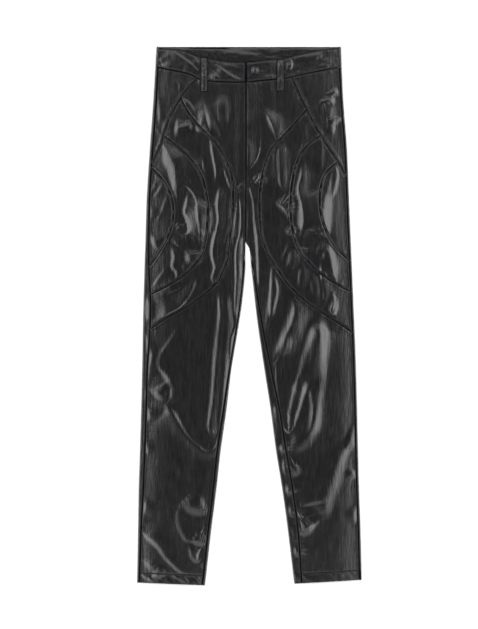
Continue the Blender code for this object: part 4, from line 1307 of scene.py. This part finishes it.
# Geometry nodes that set a bead of thread at every step along a line, in the order of their work
STITCH_NODES = {
    "entry": "NodeGroupInput",
    "curve": "GeometryNodeMeshToCurve",
    "steps": "GeometryNodeResampleCurve",
    "tangent": "GeometryNodeInputTangent",
    "align": "FunctionNodeAlignRotationToVector",
    "bead": "GeometryNodeMeshUVSphere",
    "size": "ShaderNodeCombineXYZ",
    "shaped": "GeometryNodeTransform",
    "copies": "GeometryNodeInstanceOnPoints",
    "real": "GeometryNodeRealizeInstances",
    "smooth": "GeometryNodeSetShadeSmooth",
    "paint": "GeometryNodeSetMaterial",
    "leave": "NodeGroupOutput",
}
STITCH_LINKS = (
    ("entry", "Geometry", "curve", "Mesh"),
    ("curve", "Curve", "steps", "Curve"),
    ("entry", "Pitch", "steps", "Length"),
    ("steps", "Curve", "copies", "Points"),
    ("tangent", "Tangent", "align", "Vector"),
    ("align", "Rotation", "copies", "Rotation"),
    ("entry", "Thickness", "size", "X"),
    ("entry", "Thickness", "size", "Y"),
    ("entry", "Length", "size", "Z"),
    ("bead", "Mesh", "shaped", "Geometry"),
    ("size", "Vector", "shaped", "Scale"),
    ("shaped", "Geometry", "copies", "Instance"),
    ("copies", "Instances", "real", "Geometry"),
    ("real", "Geometry", "smooth", "Geometry"),
    ("smooth", "Geometry", "paint", "Geometry"),
    ("entry", "Thread", "paint", "Material"),
    ("paint", "Geometry", "leave", "Geometry"),
)


def stitch_tree():
    """Geometry nodes: a small bead of thread at every step along the curves that come in."""
    tree = bpy.data.node_groups.new("Stitches along a line", "GeometryNodeTree")
    face = tree.interface
    face.new_socket("Geometry", in_out="INPUT", socket_type="NodeSocketGeometry")
    for name, value in (("Pitch", 0.0032), ("Length", 0.0024), ("Thickness", 0.0005)):
        socket = face.new_socket(name, in_out="INPUT", socket_type="NodeSocketFloat")
        socket.default_value, socket.subtype = value, "DISTANCE"
    face.new_socket("Thread", in_out="INPUT", socket_type="NodeSocketMaterial")
    face.new_socket("Geometry", in_out="OUTPUT", socket_type="NodeSocketGeometry")
    made = {name: node(tree, kind, (200 * i, 0)) for i, (name, kind) in enumerate(STITCH_NODES.items())}
    made["steps"].mode = "LENGTH"
    made["align"].axis = "Z"
    for name, value in (("Segments", 6), ("Rings", 5), ("Radius", 0.5)):
        made["bead"].inputs[name].default_value = value
    for source, output, target, entry in STITCH_LINKS:
        tree.links.new(made[source].outputs[output], made[target].inputs[entry])
    return tree


def stitch_lines_mesh(name, lines):
    """A mesh of edges, one open run for each stitched line."""
    points, edges = [], []
    for line in lines:
        start = len(points)
        points += line.tolist()
        edges += [(i, i + 1) for i in range(start, len(points) - 1)]
    data = bpy.data.meshes.new(name)
    data.from_pydata(points, edges, [])
    return linked(name, data)


def sew(name, lines, thread, material):
    """Turns stitched lines into beads of thread, as one plain mesh."""
    source = stitch_lines_mesh(name + "_lines", lines)
    tree = stitch_tree()
    modifier = source.modifiers.new("Stitches", "NODES")
    modifier.node_group = tree
    values = {
        "Pitch": thread.pitch,
        "Length": thread.length,
        "Thickness": thread.thickness,
        "Thread": material,
    }
    for item in tree.interface.items_tree:
        if item.item_type == "SOCKET" and item.in_out == "INPUT" and item.name in values:
            modifier[item.identifier] = values[item.name]
    bpy.context.view_layer.update()
    sewn = source.evaluated_get(bpy.context.evaluated_depsgraph_get())
    data = bpy.data.meshes.new_from_object(sewn)
    bpy.data.objects.remove(source)
    data.name = name
    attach(linked(name, data), BODY)


def split_runs(x, down, good, shortest=8.0):
    """The stretches of a line where every place is good."""
    runs, start = [], None
    for i, ok in enumerate([*good, False]):
        if ok and start is None:
            start = i
        elif not ok and start is not None:
            if i - start > 3 and np.hypot(x[i - 1] - x[start], down[i - 1] - down[start]) > shortest:
                runs.append((x[start:i], down[start:i]))
            start = None
    return runs


def rib_stitches(leg, looks):
    """The stitched line beside each cutting seam, on the side where its rib is."""
    width = looks.rib_width / MM + STITCH_ASIDE
    lines = []
    seams = seam_lines(leg)
    for label in CUT_SEAMS:
        toward = -1 if label == "slant" else 1
        places = seams.places[seams.label_of == seams.labels.index(label)][::4]
        way = np.gradient(places, axis=0)
        way /= np.hypot(way[:, :1], way[:, 1:])
        away = np.stack([way[:, 1], -way[:, 0]], 1)
        if (away[:, 0] * leg.side).mean() * toward < 0:
            away = -away
        x, down = (places + away * width).T
        distance = seams.nearest(x, down)[0]
        for x, down in split_runs(x, down, distance > width - 0.4):
            height = front_form(leg, x, down, looks.fold_strength)
            height += seam_relief(leg, x, down, {label}, looks)[0]
            lines.append(to_world(x, down, height + STITCH_LIFT))
    return lines


def band_stitches():
    """The lines along the top edge and the seam of both waistband fronts."""
    lines = []
    for leg, base, ends in ((LEGS[0], underlap_base, (-163, -10)), (LEGS[1], lap_base, (-3, 161))):
        x = np.linspace(*ends, 260)
        high, low = along(BAND_EDGES, 1, x), along(BAND_EDGES, 2, x) - SEAM_GAP
        for down in (high + BAND_STITCH, low - BAND_STITCH):
            height = base(x) + band_relief(x, down, high, low, 5.0 * leg.side)
            lines.append(to_world(x, down, height + STITCH_LIFT))
    return lines


def hem_stitches(leg, looks):
    """The line above a leg's lower edge."""
    first, last = float(leg.inner_seam(HEM_LEVEL)) + 1.5, float(leg.side_seam(HEM_LEVEL)) - 1.5
    x = leg.side * np.linspace(first, last, 160)
    down = np.interp(x, *zip(*HEM)) - HEM_DEPTH
    height = front_form(leg, x, down, looks.fold_strength) + seam_relief(leg, x, down, set(), looks)[0]
    return [to_world(x, down, height + hem_relief(x, down) + STITCH_LIFT)]


def a_number(name, description, default, **limits):
    return FloatProperty(name=name, description=description, default=default, **limits)


def a_length(name, description, default):
    return a_number(name, description, default, precision=5, unit="LENGTH")


def a_colour(name, description, default):
    return FloatVectorProperty(name=name, description=description, default=default, subtype="COLOR")


class TrousersCloth(PropertyGroup):
    colour: a_colour("Colour", "Colour of the coated cloth", (0.0050, 0.0050, 0.0058))
    roughness: a_number("Roughness", "How dull the coating is", 0.21, min=0.05, max=0.9)
    grain_depth: a_length("Grain depth", "Depth of the fine grain", 0.00018)
    wrinkle_depth: a_length("Wrinkle depth", "Depth of the finest wrinkles", 0.00016)
    fold_strength: a_number("Folds", "Share of the folds' full height", 1.0, min=0, max=2)
    rib_width: a_length("Rib width", "From a seam to its stitched line", 0.0029)
    rib_height: a_length("Rib height", "How far a stitched seam stands up", 0.0004)
    grid: a_length("Grid", "Distance between the cloth's points", 0.0014)


class TrousersThread(PropertyGroup):
    colour: a_colour("Colour", "Colour of the sewing thread", (0.008, 0.008, 0.009))
    pitch: a_length("Pitch", "From stitch to stitch", 0.0032)
    length: a_length("Length", "Length of one stitch", 0.0027)
    thickness: a_length("Thickness", "Thickness of the thread", 0.0006)


class TrousersMetal(PropertyGroup):
    colour: a_colour("Colour", "Colour of the metal", (0.04, 0.04, 0.043))
    roughness: a_number("Roughness", "How dull the metal is", 0.25, min=0.05, max=0.9)


class TrousersStage(PropertyGroup):
    side_light: a_number("Side lights", "Brightness of the strips at left and right", 4.8, min=0)
    end_light: a_number("End lights", "Brightness of the strips beyond waist and hem", 1.7, min=0)
    surround: a_number("Surround", "Light from all round", 0.022, min=0)
    floor: a_colour("Floor", "Colour of the floor", (0.96, 0.96, 0.96))


class TROUSERS_OT_fronts(Operator):
    """Build the five shaped pieces of each front"""

    bl_idname = "trousers.fronts"
    bl_label = "Fronts"

    def execute(self, context):
        looks = context.scene.trousers_cloth
        material = leather_material(looks)
        for leg in LEGS:
            for name in FRONT_PIECES:
                build_front(leg, name, looks, material)
        return {"FINISHED"}


class TROUSERS_OT_backs(Operator):
    """Build the two backs, which turn over to the front's side and inner-leg seams"""

    bl_idname = "trousers.backs"
    bl_label = "Backs"

    def execute(self, context):
        looks = context.scene.trousers_cloth
        for leg in LEGS:
            build_back(leg, looks, leather_material(looks))
        return {"FINISHED"}


class TROUSERS_OT_waistband(Operator):
    """Build the waistband's two fronts and its back"""

    bl_idname = "trousers.waistband"
    bl_label = "Waistband"

    def execute(self, context):
        material = leather_material(context.scene.trousers_cloth)
        right, left = LEGS
        from_right = -float(right.side_seam(BAND_LEVEL)) + SEAM_GAP / 2
        from_left = float(left.side_seam(BAND_LEVEL)) - SEAM_GAP / 2
        build_band_front(right, underlap_base, from_right, 22.0, material)
        build_band_front(left, lap_base, -4.5, from_left, material)
        build_band_back(material)
        return {"FINISHED"}


class TROUSERS_OT_belt_loops(Operator):
    """Build the two belt loops of the front"""

    bl_idname = "trousers.belt_loops"
    bl_label = "Belt loops"

    def execute(self, context):
        for name in LOOPS:
            build_loop(name, leather_material(context.scene.trousers_cloth))
        return {"FINISHED"}


class TROUSERS_OT_stitching(Operator):
    """Sew the seams, the waistband and the hems with beads of thread"""

    bl_idname = "trousers.stitching"
    bl_label = "Stitching"

    def execute(self, context):
        looks, thread = context.scene.trousers_cloth, context.scene.trousers_thread
        material = thread_material(thread)
        for leg in LEGS:
            lines = rib_stitches(leg, looks) + hem_stitches(leg, looks)
            sew(f"seam_stitches_{leg.name}", lines, thread, material)
        sew("waistband_stitches", band_stitches(), thread, material)
        return {"FINISHED"}


class TROUSERS_OT_button(Operator):
    """Build the waistband's button"""

    bl_idname = "trousers.button"
    bl_label = "Button"

    def execute(self, context):
        material = metal_material(context.scene.trousers_metal)
        out, down = BUTTON_PLACE
        base = float(lap_base(np.array(out))) + SEAM_GAP
        thing = turned_metal("button_metal", BUTTON_PROFILE, out, down, base, 64, material)
        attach(thing, BODY)
        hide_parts("button")
        return {"FINISHED"}


class TROUSERS_OT_fly_parts(Operator):
    """Finish the zip and the shield inside the fly"""

    bl_idname = "trousers.fly_parts"
    bl_label = "Fly parts"

    def execute(self, context):
        finishes = {
            "fly_shield": leather_material(context.scene.trousers_cloth),
            "zip_tape": tape_material(),
            "zip_slider": metal_material(context.scene.trousers_metal),
        }
        for name, material in finishes.items():
            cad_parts[name].data.materials.clear()
            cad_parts[name].data.materials.append(material)
        return {"FINISHED"}


# Stage, in metres
LIGHT_HEIGHT = 2.5
# Strips of light seen from the trousers: angle from overhead where each starts and ends, its side
# and its share of that side's brightness
LIGHT_STRIPS = (
    ("inner_strip", 14.0, 19.0, "side", 0.3),
    ("main_strip", 19.0, 36.0, "side", 1.0),
    ("outer_strip", 36.0, 50.0, "side", 0.5),
    ("end_strip", 20.0, 40.0, "end", 1.0),
)
STRIP_LENGTHS = {"side": 3.2, "end": 2.0}
FLOOR_REACH, FLOOR_LEVEL = 4.0, -0.0003
CAMERA_PLACE = (-0.0191, 0.003, 6.0)
CAMERA_LENS, CAMERA_SENSOR = 187.6, 36.0


def lay_floor(look):
    """The painted floor, just under the trousers."""
    data = bpy.data.meshes.new("floor")
    corners = [(x * FLOOR_REACH, y * FLOOR_REACH, 0) for x, y in ((-1, -1), (1, -1), (1, 1), (-1, 1))]
    data.from_pydata(corners, [], [(0, 1, 2, 3)])
    material, _, shader = new_material("floor_paint")
    shader.inputs["Base Color"].default_value = (*look.floor, 1.0)
    shader.inputs["Roughness"].default_value = 0.9
    data.materials.append(material)
    floor = linked("floor", data)
    floor.location.z = FLOOR_LEVEL


def hang_strip(look, sign, name, start, end, side, strength):
    """One strip of light, at the low or the high end of its axis."""
    near, far = (LIGHT_HEIGHT * math.tan(math.radians(angle)) for angle in (start, end))
    light = bpy.data.lights.new(f"{name}_{'low' if sign < 0 else 'high'}", "AREA")
    light.shape = "RECTANGLE"
    sizes, place = [far - near, STRIP_LENGTHS[side]], [sign * (near + far) / 2, 0.0]
    power = look.side_light
    if side == "end":
        sizes, place, power = sizes[::-1], place[::-1], look.end_light
    light.size, light.size_y = sizes
    light.energy = power * strength * math.pi * light.size * light.size_y
    linked(light.name, light).location = (*place, LIGHT_HEIGHT)


class TROUSERS_OT_stage(Operator):
    """Set the floor, the lights and the camera above the trousers"""

    bl_idname = "trousers.stage"
    bl_label = "Stage"

    def execute(self, context):
        scene, look = context.scene, context.scene.trousers_stage
        lay_floor(look)
        for strip in LIGHT_STRIPS:
            for sign in (-1, 1):
                hang_strip(look, sign, *strip)
        scene.world = bpy.data.worlds.new("studio")
        scene.world.use_nodes = True
        background = scene.world.node_tree.nodes["Background"]
        background.inputs["Color"].default_value = (1.0, 1.0, 1.0, 1.0)
        background.inputs["Strength"].default_value = look.surround
        data = bpy.data.cameras.new("camera")
        data.sensor_fit, data.sensor_height, data.lens = "VERTICAL", CAMERA_SENSOR, CAMERA_LENS
        scene.camera = linked("camera", data)
        scene.camera.location = CAMERA_PLACE
        scene.view_settings.view_transform = "Standard"
        return {"FINISHED"}


OPERATORS = (
    TROUSERS_OT_fronts,
    TROUSERS_OT_backs,
    TROUSERS_OT_waistband,
    TROUSERS_OT_belt_loops,
    TROUSERS_OT_stitching,
    TROUSERS_OT_button,
    TROUSERS_OT_fly_parts,
    TROUSERS_OT_stage,
)


class TROUSERS_PT_panel(Panel):
    bl_label = "Trousers"
    bl_idname = "TROUSERS_PT_panel"
    bl_space_type = "VIEW_3D"
    bl_region_type = "UI"
    bl_category = "Trousers"

    def draw(self, context):
        for operator in OPERATORS:
            self.layout.operator(operator.bl_idname)
        for group, names in GROUPS.items():
            box = self.layout.box()
            for name in names.__annotations__:
                box.prop(getattr(context.scene, group), name)


GROUPS = {
    "trousers_cloth": TrousersCloth,
    "trousers_thread": TrousersThread,
    "trousers_metal": TrousersMetal,
    "trousers_stage": TrousersStage,
}


def register():
    for name, group in GROUPS.items():
        bpy.utils.register_class(group)
        setattr(bpy.types.Scene, name, PointerProperty(type=group))
    for found in (*OPERATORS, TROUSERS_PT_panel):
        bpy.utils.register_class(found)


def unregister():
    for found in reversed((*OPERATORS, TROUSERS_PT_panel)):
        bpy.utils.unregister_class(found)
    for name, group in reversed(GROUPS.items()):
        delattr(bpy.types.Scene, name)
        bpy.utils.unregister_class(group)


def main():
    register()
    for operator in OPERATORS:
        kind, name = operator.bl_idname.split(".")
        getattr(getattr(bpy.ops, kind), name)()


if __name__ == "__main__":
    main()
